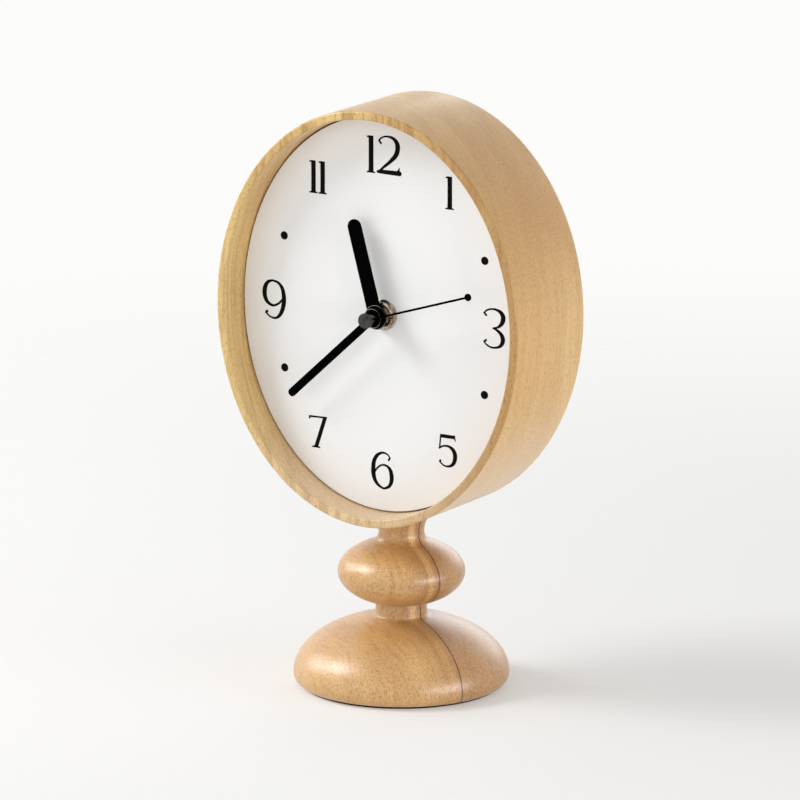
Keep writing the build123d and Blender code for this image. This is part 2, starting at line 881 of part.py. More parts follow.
# Step motor: stator plate with a hole for the magnet, core bar, bobbin and winding
stator_bottom = rotor_place[1] - magnet_radius - stator_gap - stator_border
stator_top = rotor_place[1] + magnet_radius + stator_gap + stator_border
core_top = coil_centre_z + core_height / 2
with BuildPart() as stator:
    stator_rear_y = stator_front_y + stator_thickness
    with BuildSketch(facing(stator_rear_y)):
        with Locations(((stator_left + stator_right) / 2, (stator_bottom + stator_top) / 2)):
            Rectangle(stator_right - stator_left, stator_top - stator_bottom)
        arm_centre = (stator_bottom + core_top) / 2
        for arm_x in (stator_left + stator_arm / 2, stator_right - stator_arm / 2):
            with Locations((arm_x, arm_centre)):
                Rectangle(stator_arm, core_top - stator_bottom)
        with Locations(rotor_place):
            Circle(magnet_radius + stator_gap, mode=Mode.SUBTRACT)
    extrude(amount=stator_thickness)
finish(stator, "stator")

with BuildPart() as coil_core:
    with BuildSketch(facing(core_front_y + stator_thickness)):
        with Locations((coil_centre_x, coil_centre_z)):
            Rectangle(stator_right - stator_left, core_height)
    extrude(amount=stator_thickness)
finish(coil_core, "coil_core")


def across(x):
    """A plane across X at the coil's axis, facing +X."""
    return Plane(
        origin=(x, coil_axis_y, head_centre_z + coil_centre_z), x_dir=(0, 1, 0), z_dir=(1, 0, 0)
    )


bobbin_left = coil_centre_x - bobbin_length / 2
with BuildPart() as coil_bobbin:
    with BuildSketch(across(bobbin_left)):
        Circle(bobbin_sleeve_radius)
    extrude(amount=bobbin_length)
    for flange_x in (bobbin_left, bobbin_left + bobbin_length - bobbin_flange):
        with BuildSketch(across(flange_x)):
            Circle(bobbin_radius)
        extrude(amount=bobbin_flange)
    with BuildSketch(across(bobbin_left)):
        Rectangle(stator_thickness + 2 * fit_gap, core_height + 2 * fit_gap)
    extrude(amount=bobbin_length, mode=Mode.SUBTRACT)
finish(coil_bobbin, "coil_bobbin")

with BuildPart() as coil_winding:
    with BuildSketch(across(bobbin_left + bobbin_flange)):
        Circle(coil_radius)
        Circle(bobbin_sleeve_radius + fit_gap, mode=Mode.SUBTRACT)
    extrude(amount=bobbin_length - 2 * bobbin_flange)
finish(coil_winding, "coil_winding")

# Rotor: magnet and pinion on one arbor
pivot_front_y = case_floor_y - pivot_depth + pivot_gap
magnet_front_y = stator_front_y + stator_thickness / 2 - magnet_length / 2
to_rotor = direction_to(intermediate_place, rotor_place)
with BuildPart() as rotor:
    arbor(pivot_front_y, cover_front_y + pivot_depth - pivot_gap, arbor_radius, rotor_place)
    disc(magnet_front_y, magnet_length, magnet_radius, rotor_place)
    rotor_tooth = gap_direction(to_rotor + half_turn, rotor_pinion_teeth)
    gear(rotor_layer, rotor_pinion_teeth, rotor_module, rotor_tooth, rotor_place)
finish(rotor, "rotor")

# Intermediate wheel between the rotor and the seconds wheel
to_intermediate = direction_to(centre_place, intermediate_place)
with BuildPart() as intermediate_wheel:
    arbor(pivot_front_y, bridge_rear_y, arbor_radius, intermediate_place)
    gear(rotor_layer, intermediate_wheel_teeth, rotor_module, to_rotor, intermediate_place)
    pinion_tooth = gap_direction(to_intermediate + half_turn, intermediate_pinion_teeth)
    gear(second_layer, intermediate_pinion_teeth, intermediate_module, pinion_tooth, intermediate_place)
finish(intermediate_wheel, "intermediate_wheel")

# Seconds wheel and pinion on the arbor that carries the second hand
to_third = direction_to(centre_place, third_place)
with BuildPart() as seconds_wheel:
    arbor(second_tube_front_y, layer_y(second_layer), second_arbor_radius)
    arbor(layer_y(second_layer), bridge_rear_y, arbor_radius)
    gear(second_layer, second_wheel_teeth, intermediate_module, to_intermediate)
    second_tooth = gap_direction(to_third, second_pinion_teeth)
    gear(third_layer, second_pinion_teeth, third_module, second_tooth)
finish(seconds_wheel, "seconds_wheel")

# Third wheel between the seconds pinion and the minute wheel
with BuildPart() as third_wheel:
    arbor(pivot_front_y, bridge_rear_y, arbor_radius, third_place)
    gear(third_layer, third_wheel_teeth, third_module, to_third + half_turn, third_place)
    third_tooth = gap_direction(to_third + half_turn, third_pinion_teeth)
    gear(minute_layer, third_pinion_teeth, minute_module, third_tooth, third_place)
finish(third_wheel, "third_wheel")

# Minute wheel: turns on the seconds arbor and drives the cannon pinion by friction
clutch_length = layer_gap - 2 * pivot_gap
with BuildPart() as minute_wheel:
    gear(minute_layer, minute_wheel_teeth, minute_module, to_third)
    disc(layer_y(minute_layer) - clutch_length, clutch_length, clutch_radius)
    arbor(
        layer_y(minute_layer) - clutch_length,
        layer_y(third_layer),
        second_arbor_radius + second_arbor_gap,
        mode=Mode.SUBTRACT,
    )
finish(minute_wheel, "minute_wheel")

# Cannon pinion: its pipe carries the minute hand
to_motion = direction_to(centre_place, motion_place)
layer_two_rear_y = layer_y(cannon_layer) + wheel_thickness
with BuildPart() as cannon_pinion:
    gear(cannon_layer, cannon_pinion_teeth, motion_module, to_motion)
    arbor(minute_pipe_front_y, layer_y(cannon_layer), minute_pipe_radius)
    arbor(
        minute_pipe_front_y,
        layer_two_rear_y,
        second_arbor_radius + second_arbor_gap,
        mode=Mode.SUBTRACT,
    )
finish(cannon_pinion, "cannon_pinion")

# Motion wheel and pinion, on the arbor that runs out of the back to the set knob
with BuildPart() as motion_wheel:
    arbor(
        pivot_front_y,
        case_rear_y + knob_gap + knob_thickness / 2,
        motion_arbor_radius,
        motion_place,
    )
    motion_tooth = gap_direction(to_motion + half_turn, motion_wheel_teeth)
    gear(cannon_layer, motion_wheel_teeth, motion_module, motion_tooth, motion_place)
    gear(hour_layer, motion_pinion_teeth, hour_module, to_motion + half_turn, motion_place)
finish(motion_wheel, "motion_wheel")

# Hour wheel: its pipe carries the hour hand and turns on the cannon's pipe
hour_pipe_front_y = dial_face_y - hour_hand_stand - hand_thickness / 2 - pipe_end / 2
layer_one_rear_y = layer_y(hour_layer) + wheel_thickness
with BuildPart() as hour_wheel:
    hour_tooth = gap_direction(to_motion, hour_wheel_teeth)
    gear(hour_layer, hour_wheel_teeth, hour_module, hour_tooth)
    arbor(hour_pipe_front_y, layer_y(hour_layer), hour_pipe_radius)
    arbor(
        hour_pipe_front_y,
        layer_one_rear_y,
        minute_pipe_radius + pipe_gap,
        mode=Mode.SUBTRACT,
    )
finish(hour_wheel, "hour_wheel")

# Set knob on the back, with grooves round its edge
knob_front_y = case_rear_y + knob_gap
knob_rear_y = knob_front_y + knob_thickness
with BuildPart() as set_knob:
    with BuildSketch(facing(knob_rear_y, *motion_place)):
        Circle(knob_radius)
        with PolarLocations(knob_radius, knob_grooves):
            Circle(knob_groove_radius, mode=Mode.SUBTRACT)
    extrude(amount=knob_thickness)
    arbor(
        knob_front_y,
        knob_front_y + knob_thickness / 2 + fit_gap,
        motion_arbor_radius + fit_gap,
        motion_place,
        mode=Mode.SUBTRACT,
    )
finish(set_knob, "set_knob")
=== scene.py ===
"""The looks of a wooden desk clock: an oval drum on a turned pedestal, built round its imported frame."""

import logging
import math
from dataclasses import dataclass
from enum import Enum
from typing import Optional, Sequence, Union

import bmesh
import bpy
from mathutils import Matrix, Vector


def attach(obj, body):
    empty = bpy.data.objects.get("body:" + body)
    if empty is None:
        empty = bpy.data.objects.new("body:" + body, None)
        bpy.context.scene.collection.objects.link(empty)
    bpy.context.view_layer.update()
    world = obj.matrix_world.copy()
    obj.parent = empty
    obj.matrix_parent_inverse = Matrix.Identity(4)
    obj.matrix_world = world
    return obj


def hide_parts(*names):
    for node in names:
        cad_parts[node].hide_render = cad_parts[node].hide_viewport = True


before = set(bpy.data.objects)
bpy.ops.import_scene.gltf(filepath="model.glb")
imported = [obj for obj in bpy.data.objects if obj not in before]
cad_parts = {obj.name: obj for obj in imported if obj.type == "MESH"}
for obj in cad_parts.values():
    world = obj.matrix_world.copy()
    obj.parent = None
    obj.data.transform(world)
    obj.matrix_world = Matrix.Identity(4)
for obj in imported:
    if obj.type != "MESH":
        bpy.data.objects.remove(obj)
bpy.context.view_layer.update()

log = logging.getLogger("clock")

MM = 0.001
HEAD_CENTRE_Z = 156.0
DIAL_FACE_Y = -13.5

Pair = tuple[float, float]
Triple = tuple[float, float, float]
Term = Union["Signal", float, int, Triple]
Stroke = Sequence[Triple]


def srgb(red: float, green: float, blue: float) -> Triple:
    """Turn a colour as a screen shows it, 0 to 255, into the linear colour a shader takes."""
    def linear(channel: float) -> float:
        """Undo the screen's curve for one channel."""
        share = channel / 255
        return share / 12.92 if share <= 0.04045 else ((share + 0.055) / 1.055) ** 2.4

    return linear(red), linear(green), linear(blue)


def scaled(colour: Triple, share: float) -> Triple:
    """Make a linear colour lighter or darker, up to full white."""
    return tuple(min(1.0, channel * share) for channel in colour)


# Node trees, written as Python expressions


class Signal:
    """An output socket; arithmetic on it adds Math or Vector Math nodes to its tree."""

    def __init__(self, wiring: "Wiring", socket: bpy.types.NodeSocket) -> None:
        """Keep the socket and the tree that it belongs to."""
        self.wiring = wiring
        self.socket = socket

    def combine(self, operation: str, *terms: Term) -> "Signal":
        """Add one Math node, or a Vector Math node where a term is a vector.

        Args:
            operation: The node's operation.
            terms: Its inputs in order, as signals, numbers or triples.

        Returns:
            The node's result.
        """
        kind = "ShaderNodeVectorMath" if any(is_vector(term) for term in terms) else "ShaderNodeMath"
        return self.wiring.add(kind, {"operation": operation}, dict(enumerate(terms)))

    def __add__(self, other: Term) -> "Signal":
        """Add a term."""
        return self.combine("ADD", self, other)

    def __sub__(self, other: Term) -> "Signal":
        """Take a term away."""
        return self.combine("SUBTRACT", self, other)

    def __rsub__(self, other: Term) -> "Signal":
        """Take this away from a plain term."""
        return self.combine("SUBTRACT", other, self)

    def __mul__(self, other: Term) -> "Signal":
        """Multiply by a term."""
        return self.combine("MULTIPLY", self, other)

    def __truediv__(self, other: Term) -> "Signal":
        """Divide by a term."""
        return self.combine("DIVIDE", self, other)

    def size(self) -> "Signal":
        """Take a number's distance from zero."""
        return self.combine("ABSOLUTE", self)

    def cosine(self) -> "Signal":
        """Take the cosine of an angle."""
        return self.combine("COSINE", self)

    def above(self, limit: Term) -> "Signal":
        """Give 1 where this is above the limit and 0 elsewhere."""
        return self.combine("GREATER_THAN", self, limit)

    def length(self) -> "Signal":
        """Measure a vector."""
        return Signal(self.wiring, self.combine("LENGTH", self).socket.node.outputs["Value"])

    def ease(self, low: float, high: float) -> "Signal":
        """Ease from 0 at low to 1 at high; high may be the smaller one."""
        start, end = (1.0, 0.0) if high < low else (0.0, 1.0)
        inputs = {0: self, 1: min(low, high), 2: max(low, high), 3: start, 4: end}
        return self.wiring.add("ShaderNodeMapRange", {"interpolation_type": "SMOOTHSTEP"}, inputs)

    def parts(self) -> tuple["Signal", "Signal", "Signal"]:
        """Split a vector into its three numbers."""
        node = self.wiring.add("ShaderNodeSeparateXYZ", {}, {0: self}).socket.node
        return tuple(Signal(self.wiring, socket) for socket in node.outputs[:3])


def is_vector(term: Term) -> bool:
    """Tell whether a term has three numbers."""
    if isinstance(term, Signal):
        return term.socket.type in {"VECTOR", "RGBA", "ROTATION"}
    return isinstance(term, (tuple, list, Vector))


class Wiring:
    """A node tree with one method that adds any node to it."""

    def __init__(self, tree: bpy.types.NodeTree) -> None:
        """Keep the tree."""
        self.tree = tree

    def add(
        self, kind: str, settings: Optional[dict] = None, inputs: Optional[dict] = None, output: Union[int, str] = 0
    ) -> Signal:
        """Add a node, set it up and feed its sockets.

        Args:
            kind: The node's type.
            settings: Its settings by name; "stops" holds a ramp's stops.
            inputs: Values or signals, by socket name or number.
            output: The output to return.

        Returns:
            The chosen output.
        """
        node = self.tree.nodes.new(kind)
        for name, value in (settings or {}).items():
            if name == "stops":
                fill_ramp(node.color_ramp, value)
            else:
                setattr(node, name, value)
        for key, value in (inputs or {}).items():
            self.feed(value, node.inputs[key])
        return Signal(self, node.outputs[output] if len(node.outputs) else node.inputs[0])

    def feed(self, value: object, socket: bpy.types.NodeSocket) -> None:
        """Link a signal to a socket, or write a plain value into it."""
        if isinstance(value, Signal):
            self.tree.links.new(value.socket, socket)
        elif socket.type == "RGBA" and len(value) == 3:
            socket.default_value = (*value, 1.0)
        elif socket.type == "VECTOR" and isinstance(value, (int, float)):
            socket.default_value = (value,) * 3
        else:
            socket.default_value = value

    def vector(self, x: Term, y: Term, z: Term) -> Signal:
        """Join three numbers into a vector."""
        return self.add("ShaderNodeCombineXYZ", {}, {0: x, 1: y, 2: z})


def fill_ramp(ramp: bpy.types.ColorRamp, stops: Sequence[tuple[float, Triple]]) -> None:
    """Write a ramp's stops, each a place and a colour."""
    while len(ramp.elements) < len(stops):
        ramp.elements.new(1.0)
    for element, (place, colour) in zip(ramp.elements, stops):
        element.position = place
        element.color = (*colour, 1.0)


class Surface(Wiring):
    """A material under construction, with its point in millimetres and its shader."""

    def __init__(self, name: str, **constants: object) -> None:
        """Start a material.

        Args:
            name: The material's name.
            constants: Values written straight on the shader's sockets, with _ for a space.
        """
        self.material = bpy.data.materials.new(name)
        self.material.use_nodes = True
        super().__init__(self.material.node_tree)
        self.tree.nodes.clear()
        self.shader = self.add("ShaderNodeBsdfPrincipled").socket.node
        self.add("ShaderNodeOutputMaterial", {}, {"Surface": Signal(self, self.shader.outputs[0])})
        for socket, value in constants.items():
            self.feed(value, self.shader.inputs[socket.replace("_", " ")])
        self.point = self.add("ShaderNodeTexCoord", output="Object") * (1 / MM)

    def noise(self, point: Signal, detail: float = 2.0, roughness: float = 0.5) -> Signal:
        """Take soft noise with features one unit wide."""
        inputs = {"Vector": point, "Scale": 1.0, "Detail": detail, "Roughness": roughness}
        return self.add("ShaderNodeTexNoise", {"noise_dimensions": "3D"}, inputs)

    def specks(self, cell: Triple, point: Signal, radius: float, share: float) -> Signal:
        """Scatter specks, one at most in each cell.

        Args:
            cell: A cell's size in millimetres.
            point: The place in millimetres.
            radius: A speck's radius in cells.
            share: The share of the cells that hold one.

        Returns:
            1 inside a speck, easing to 0 at its rim.
        """
        place = point * tuple(1 / side for side in cell)
        cells = self.add("ShaderNodeTexVoronoi", {}, {"Vector": place, "Scale": 1.0, "Randomness": 0.9})
        colour = Signal(self, cells.socket.node.outputs["Color"])
        chance = self.add("ShaderNodeSeparateColor", {}, {0: colour})
        return cells.ease(radius, radius * 0.45) * (1 - chance.above(share))

    def levels(self, value: Signal, stops: Sequence[Pair]) -> Signal:
        """Read a number off a row of stops, each a place from 0 to 1 and a level."""
        ramp = {"stops": [(place, (level,) * 3) for place, level in stops]}
        colour = self.add("ShaderNodeValToRGB", ramp, {0: value})
        return self.add("ShaderNodeSeparateColor", {}, {0: colour})

    def mix(self, first: object, second: object, factor: Term) -> Signal:
        """Mix two colours."""
        settings = {"data_type": "RGBA", "clamp_factor": True}
        return self.add("ShaderNodeMix", settings, {0: factor, 6: first, 7: second}, 2)

    def paint(self, **varying: object) -> None:
        """Feed the shader's inputs that vary, with _ for a space."""
        for name, value in varying.items():
            self.feed(value, self.shader.inputs[name.replace("_", " ")])

    def raise_by(self, height: Signal, depth: float) -> bpy.types.Material:
        """Bump the surface by a height from 0 to 1, whose full depth is in millimetres, and give the material."""
        inputs = {"Height": height, "Distance": depth * MM, "Strength": 1.0}
        self.feed(self.add("ShaderNodeBump", {}, inputs), self.shader.inputs["Normal"])
        return self.material


# Finishes


@dataclass(frozen=True)
class Board:
    """The colours of one board of pale hardwood."""

    pale: Triple
    tan: Triple
    brown: Triple
    pore: Triple


@dataclass(frozen=True)
class Figure:
    """The noises that draw a board's figure."""

    broad: Signal
    lines: Signal
    fibres: Signal
    blush: Signal


@dataclass(frozen=True)
class Wood:
    """Pale hardwood with upright grain, lacquered or left raw.

    Widths, reaches, cells and places are in millimetres and grains in features per millimetre; a pair of
    places says where a change starts and where it is complete.
    """

    name: str
    board: Board
    other_board: Optional[Board] = None
    plane: Triple = (0.4745, 0.880, 3.05)
    board_shift: Triple = (41.0, 23.0, 67.0)
    band_shift: float = 37.0
    sway: float = 16.0
    sway_grain: Triple = (0.022, 0.022, 0.0075)
    band_width: float = 11.0
    band_reach: Pair = (75.0, 210.0)
    line_width: float = 1.7
    line_reach: Pair = (11.0, 95.0)
    fibre_width: float = 0.32
    fibre_grain: float = 0.085
    blush_grain: Triple = (0.035, 0.035, 0.012)
    pore_cell: Triple = (0.68, 0.68, 3.6)
    pore_radius: float = 0.27
    pore_share: float = 0.8
    pore_strength: float = 0.5
    grit_strength: float = 0.16
    dash_cell: Triple = (1.5, 1.5, 9.0)
    dash_radius: float = 0.17
    dash_share: float = 0.45
    dash_strength: float = 0.4
    band_contrast: float = 0.8
    line_strength: float = 0.5
    roughness: float = 0.42
    coat: float = 1.0
    coat_roughness: float = 0.28
    coat_ior: float = 1.55
    body_gloss: float = 0.15
    painted_shade_side: float = 0.0
    painted_shade_x: Pair = (5.0, 60.0)
    painted_shade_z: Pair = (140.0, 205.0)
    relief: float = 0.035
    face: Optional[Board] = None
    # Painted light: the pale colour that the drum's lower part, the rim face's bottom and the bore's bottom are mixed
    # towards.
    painted_light: Triple = srgb(246, 224, 196)
    seam_colour: Triple = srgb(88, 40, 22)
    face_y: float = -27.0
    fine_streak: Triple = (0.9, 6.0, 40.0)
    stripes_x: Pair = (58.0, 24.0)
    corner_x: Pair = (-5.0, 25.0)
    corner_z: Pair = (168.0, 190.0)
    painted_rim_shade_x: Pair = (-10.0, 50.0)
    painted_light_z: Pair = (135.0, 76.0)
    bore_painted_light_z: Pair = (104.0, 78.0)
    oval: Triple = (70.6, 85.0, HEAD_CENTRE_Z)
    streak_span: Pair = (-14.0, 2.0)
    streak_rise: Pair = (20.0, 36.0)
    streaks: tuple[Pair, ...] = (
        (0.0, 0.0), (0.16, 0.25), (0.36, 0.45), (0.52, 0.75), (0.58, 0.15), (0.68, 0.0), (0.74, 0.6), (0.868, 1.0),
        (0.872, 0.0),
    )

    def material(self) -> bpy.types.Material:
        """Build wood whose grain runs along Z, with a glue line where it has a second board."""
        coat = {"Coat_Roughness": self.coat_roughness, "Coat_IOR": self.coat_ior}
        surface = Surface(self.name, Specular_IOR_Level=self.body_gloss, **coat)
        point = surface.point
        x, y, z = point.parts()
        nx, ny, offset = self.plane
        along = x * nx + y * ny - offset
        across = y * nx - x * ny
        second = along.above(0.0) if self.other_board else None
        if second:
            point = point + surface.vector(*(second * shift for shift in self.board_shift))
        bands = along + (surface.noise(point * self.sway_grain, 2.0) - 0.5) * self.sway
        if second:
            bands = bands + second * self.band_shift

        def stretched(width: float, reach: float, rise: float) -> Signal:
            """Give the place in streaks of a width, a reach across and a rise along Z."""
            return surface.vector(bands / width, across / reach, z / rise)

        figure = Figure(
            surface.noise(stretched(self.band_width, *self.band_reach), 2.0),
            surface.noise(stretched(self.line_width, *self.line_reach), 3.0, 0.6),
            surface.noise(point * (1 / self.fibre_width, 1 / self.fibre_width, self.fibre_grain), 3.0, 0.6),
            surface.noise(point * self.blush_grain, 1.0),
        )
        pores = surface.specks(self.pore_cell, point, self.pore_radius, self.pore_share)
        dashes = surface.specks(self.dash_cell, point, self.dash_radius, self.dash_share)
        colour = self.tone(surface, self.board, figure)
        if second:
            colour = surface.mix(colour, self.tone(surface, self.other_board, figure), second)
            near, far = self.streak_span
            shade = surface.add("ShaderNodeMapRange", {}, {0: along, 1: near, 2: far, 3: 0.0, 4: 1.0})
            streak = surface.levels(shade, self.streaks)
            colour = surface.mix(colour, self.board.brown, streak * (z.ease(*self.streak_rise) * 0.6 + 0.25))
        # Painted shade: the upper right of the drum's side is mixed towards brown, where less light falls on it.
        if self.painted_shade_side:
            painted_shade = x.ease(*self.painted_shade_x) * z.ease(*self.painted_shade_z) * self.painted_shade_side
            colour = surface.mix(colour, self.board.brown, painted_shade)
        if self.face:
            fine = surface.noise(stretched(*self.fine_streak), 2.0, 0.6).ease(0.5, 0.6)
            colour = self.add_face(surface, colour, figure, fine, (x, y, z))
        grit = surface.noise(point * (1.9, 1.9, 0.7), 2.0, 0.7)
        for tint, amount in (
            (self.board.brown, grit.ease(0.5, 0.68) * self.grit_strength),
            (self.board.pale, grit.ease(0.46, 0.3) * self.grit_strength * 0.8),
            (self.board.pore, pores * self.pore_strength),
            (self.board.pore, dashes * self.dash_strength),
        ):
            colour = surface.mix(colour, tint, amount)
        height = figure.fibres * 0.4 + figure.lines * 0.25 - pores * 0.2
        hollow = pores * 0.4
        if second:
            seam = along.size().ease(0.4, 0.12)
            colour = surface.mix(colour, self.seam_colour, seam * 0.9)
            height = height - seam * 0.25
            hollow = hollow + seam * 0.6
        rough = figure.fibres * 0.14 + pores * 0.2 + (self.roughness - 0.07)
        surface.paint(Base_Color=colour, Roughness=rough)
        if self.coat:
            surface.paint(Coat_Weight=self.coat - hollow * self.coat)
        return surface.raise_by(height, self.relief)

    def add_face(
        self, surface: Surface, colour: Signal, figure: Figure, fine: Signal, place: tuple[Signal, Signal, Signal]
    ) -> Signal:
        """Lay the golden face over the rim's front and the bore, paint light on the drum's lower part and the bore's
        bottom, and paint shade on the right of the rim's face.

        Args:
            surface: The material under construction.
            colour: The drum's colour so far.
            figure: The noises of the figure.
            fine: Noise of the fine stripes at the upper right.
            place: The point's three numbers, in millimetres.

        Returns:
            The drum's colour.
        """
        x, y, z = place
        wide, high, rise = self.oval
        stripes = figure.lines.ease(0.47, 0.6) * (x.size().ease(*self.stripes_x) * 0.36 + 0.12)
        stripes = stripes + fine * (x.ease(*self.corner_x) * z.ease(*self.corner_z)) * 0.4
        # Painted light: towards the bottom, the drum, the rim's face and the bore turn pale, standing in for light from
        # below.
        low = z.ease(*self.painted_light_z)
        front = self.tone(surface, self.face, figure)
        front = surface.mix(front, self.face.brown, stripes)
        # Painted shade: the rim's face turns browner towards the right, where less light falls on it.
        front = surface.mix(front, self.face.brown, x.ease(*self.painted_rim_shade_x) * 0.62)
        front = surface.mix(front, self.painted_light, low * low * 0.32)
        colour = surface.mix(colour, self.painted_light, low * 0.55)
        u, v = x / wide, (z - rise) / high
        inside = (u * u + v * v).ease(0.96, 0.93)
        # Painted light: low in the bore, less of the face's colour is laid on, so the pale painted light shows on the
        # bore's bottom.
        colour = surface.mix(colour, front, inside * (z.ease(*self.bore_painted_light_z) * -0.6 + 0.8))
        return surface.mix(colour, front, y.ease(self.face_y + 0.5, self.face_y - 0.3))

    def tone(self, surface: Surface, board: Board, figure: Figure) -> Signal:
        """Mix one board's colours along its figure."""
        colour = surface.mix(board.pale, board.tan, figure.broad.ease(0.3, 0.7) * self.band_contrast)
        for tint, amount in (
            (board.brown, figure.lines.ease(0.47, 0.74) * self.line_strength),
            (board.brown, figure.fibres.ease(0.5, 0.85) * 0.34),
            (board.pale, figure.fibres.ease(0.5, 0.2) * 0.35),
            (board.brown, figure.blush.ease(0.45, 0.75) * 0.3),
        ):
            colour = surface.mix(colour, tint, amount)
        return colour


class Polish(Enum):
    """How rough a plain surface is."""

    GLOSS = 0.22
    SATIN = 0.38
    MATT = 0.62
    FLAT = 0.85


@dataclass(frozen=True)
class Coating:
    """A painted, printed or moulded surface with a fine even texture."""

    name: str
    colour: Triple
    polish: Polish = Polish.SATIN
    spread: float = 0.06
    texture_size: float = 0.35
    relief: float = 0.01
    specular: float = 0.5

    def material(self) -> bpy.types.Material:
        """Build the material."""
        surface = Surface(self.name, Specular_IOR_Level=self.specular)
        texture = surface.noise(surface.point * (1 / self.texture_size), 3.0)
        cloud = surface.noise(surface.point * 0.045, 2.0)
        light, dark = scaled(self.colour, 1 + self.spread), scaled(self.colour, 1 - self.spread)
        colour = surface.mix(dark, light, cloud * 0.6 + texture * 0.4)
        surface.paint(Base_Color=colour, Roughness=texture * 0.12 + cloud * 0.08 + (self.polish.value - 0.1))
        return surface.raise_by(texture, self.relief)


class Grain(Enum):
    """Which way a metal's fine scratches run."""

    ROUND = "round the dial's axis"
    CAST = "no direction"


@dataclass(frozen=True)
class Metal:
    """Plated or bare metal with fine tool marks and a little tarnish."""

    name: str
    colour: Triple
    tarnish: Triple
    grain: Grain
    roughness: float
    relief: float = 0.006

    def material(self) -> bpy.types.Material:
        """Build the material."""
        surface = Surface(self.name, Metallic=1.0)
        centred = surface.point - (0.0, 0.0, HEAD_CENTRE_Z)
        x, y, z = centred.parts()
        place = centred * 3.0
        if self.grain is Grain.ROUND:
            place = surface.vector(surface.vector(x, 0.0, z).length() * 9.0, y * 7.0, 0.0)
        marks = surface.noise(place, 3.0, 0.7)
        stain = surface.noise(centred * 0.55, 3.0, 0.6)
        colour = surface.mix(self.colour, self.tarnish, stain.ease(0.42, 0.7))
        colour = surface.mix(colour, self.tarnish, marks.ease(0.55, 0.8) * 0.35)
        surface.paint(Base_Color=colour, Roughness=marks * 0.22 + stain * 0.12 + (self.roughness - 0.15))
        return surface.raise_by(marks, self.relief)


@dataclass(frozen=True)
class Fibre:
    """Pressed board or felt: short fibres lying every way, with a nap."""

    name: str
    colour: Triple
    fleck: Triple
    fibre: Triple = (0.35, 2.2, 0.35)
    relief: float = 0.08

    def material(self) -> bpy.types.Material:
        """Build the material."""
        surface = Surface(self.name, Specular_IOR_Level=0.25)
        lying = surface.noise(surface.point * tuple(1 / side for side in self.fibre), 4.0, 0.7)
        other = surface.noise(surface.point * (2.6, 0.6, 1.1) + (31.0, 7.0, 3.0), 4.0, 0.7)
        cloud = surface.noise(surface.point * 0.12, 2.0)
        colour = surface.mix(self.colour, self.fleck, lying.ease(0.5, 0.72) * 0.7)
        colour = surface.mix(colour, self.fleck, other.ease(0.55, 0.75) * 0.5)
        colour = surface.mix(colour, scaled(self.colour, 0.8), cloud.ease(0.45, 0.7) * 0.5)
        surface.paint(Base_Color=colour, Roughness=lying * 0.15 + 0.75)
        return surface.raise_by(lying * 0.6 + other * 0.4, self.relief)


@dataclass(frozen=True)
class Jacket:
    """The printed sleeve of a dry cell: dark, with one band of another colour at its nub end."""

    name: str
    body: Triple
    band: Triple
    band_starts: float
    metal: Triple = (0.62, 0.61, 0.6)
    ends: Pair = (-24.1, 24.75)

    def material(self) -> bpy.types.Material:
        """Build the material."""
        surface = Surface(self.name, Coat_Roughness=0.12)
        x, _, _ = surface.point.parts()
        texture = surface.noise(surface.point * (0.3, 2.0, 2.0), 2.0)
        colour = surface.mix(self.body, self.band, x.above(self.band_starts))
        colour = surface.mix(colour, scaled(self.band, 0.7), (x - self.band_starts).size().ease(0.5, 0.3))
        bare = x.above(self.ends[1]) + (1 - x.above(self.ends[0]))
        colour = surface.mix(colour, self.metal, bare)
        surface.paint(Base_Color=colour, Roughness=texture * 0.12 + 0.26, Coat_Weight=0.4 - bare * 0.4, Metallic=bare)
        return surface.raise_by(texture, 0.008)


@dataclass(frozen=True)
class Winding:
    """Fine enamelled wire, wound side by side along X."""

    name: str
    colour: Triple
    wire: float = 0.16

    def material(self) -> bpy.types.Material:
        """Build the material."""
        surface = Surface(self.name, Metallic=0.85)
        x, _, _ = surface.point.parts()
        turns = (x * (math.tau / self.wire)).cosine() * 0.5 + 0.5
        stain = surface.noise(surface.point * 1.2, 2.0)
        # Painted shade: the colour darkens between the turns, in the grooves between the wires.
        colour = surface.mix(scaled(self.colour, 0.35), self.colour, turns * 0.7 + stain * 0.3)
        surface.paint(Base_Color=colour, Roughness=stain * 0.2 + 0.25)
        return surface.raise_by(turns, 0.06)


HEAD_BOARD = Board(srgb(223, 187, 128), srgb(207, 164, 103), srgb(178, 129, 74), srgb(134, 84, 42))
FACE_BOARD = Board(srgb(236, 206, 140), srgb(218, 182, 114), srgb(160, 108, 50), srgb(112, 66, 30))
STEM_BOARD = Board(srgb(225, 181, 119), srgb(204, 155, 89), srgb(142, 88, 38), srgb(104, 46, 12))
# The pedestal's second board, right of the glue line, is darker than the first: partly the board's own colour, partly
# painted shade on the pedestal's right side, away from the lamps.
STEM_OTHER_BOARD = Board(srgb(188, 142, 88), srgb(170, 124, 73), srgb(130, 84, 42), srgb(96, 44, 14))
RAW_BOARD = Board(srgb(220, 190, 150), srgb(205, 168, 124), srgb(176, 134, 92), srgb(126, 90, 58))

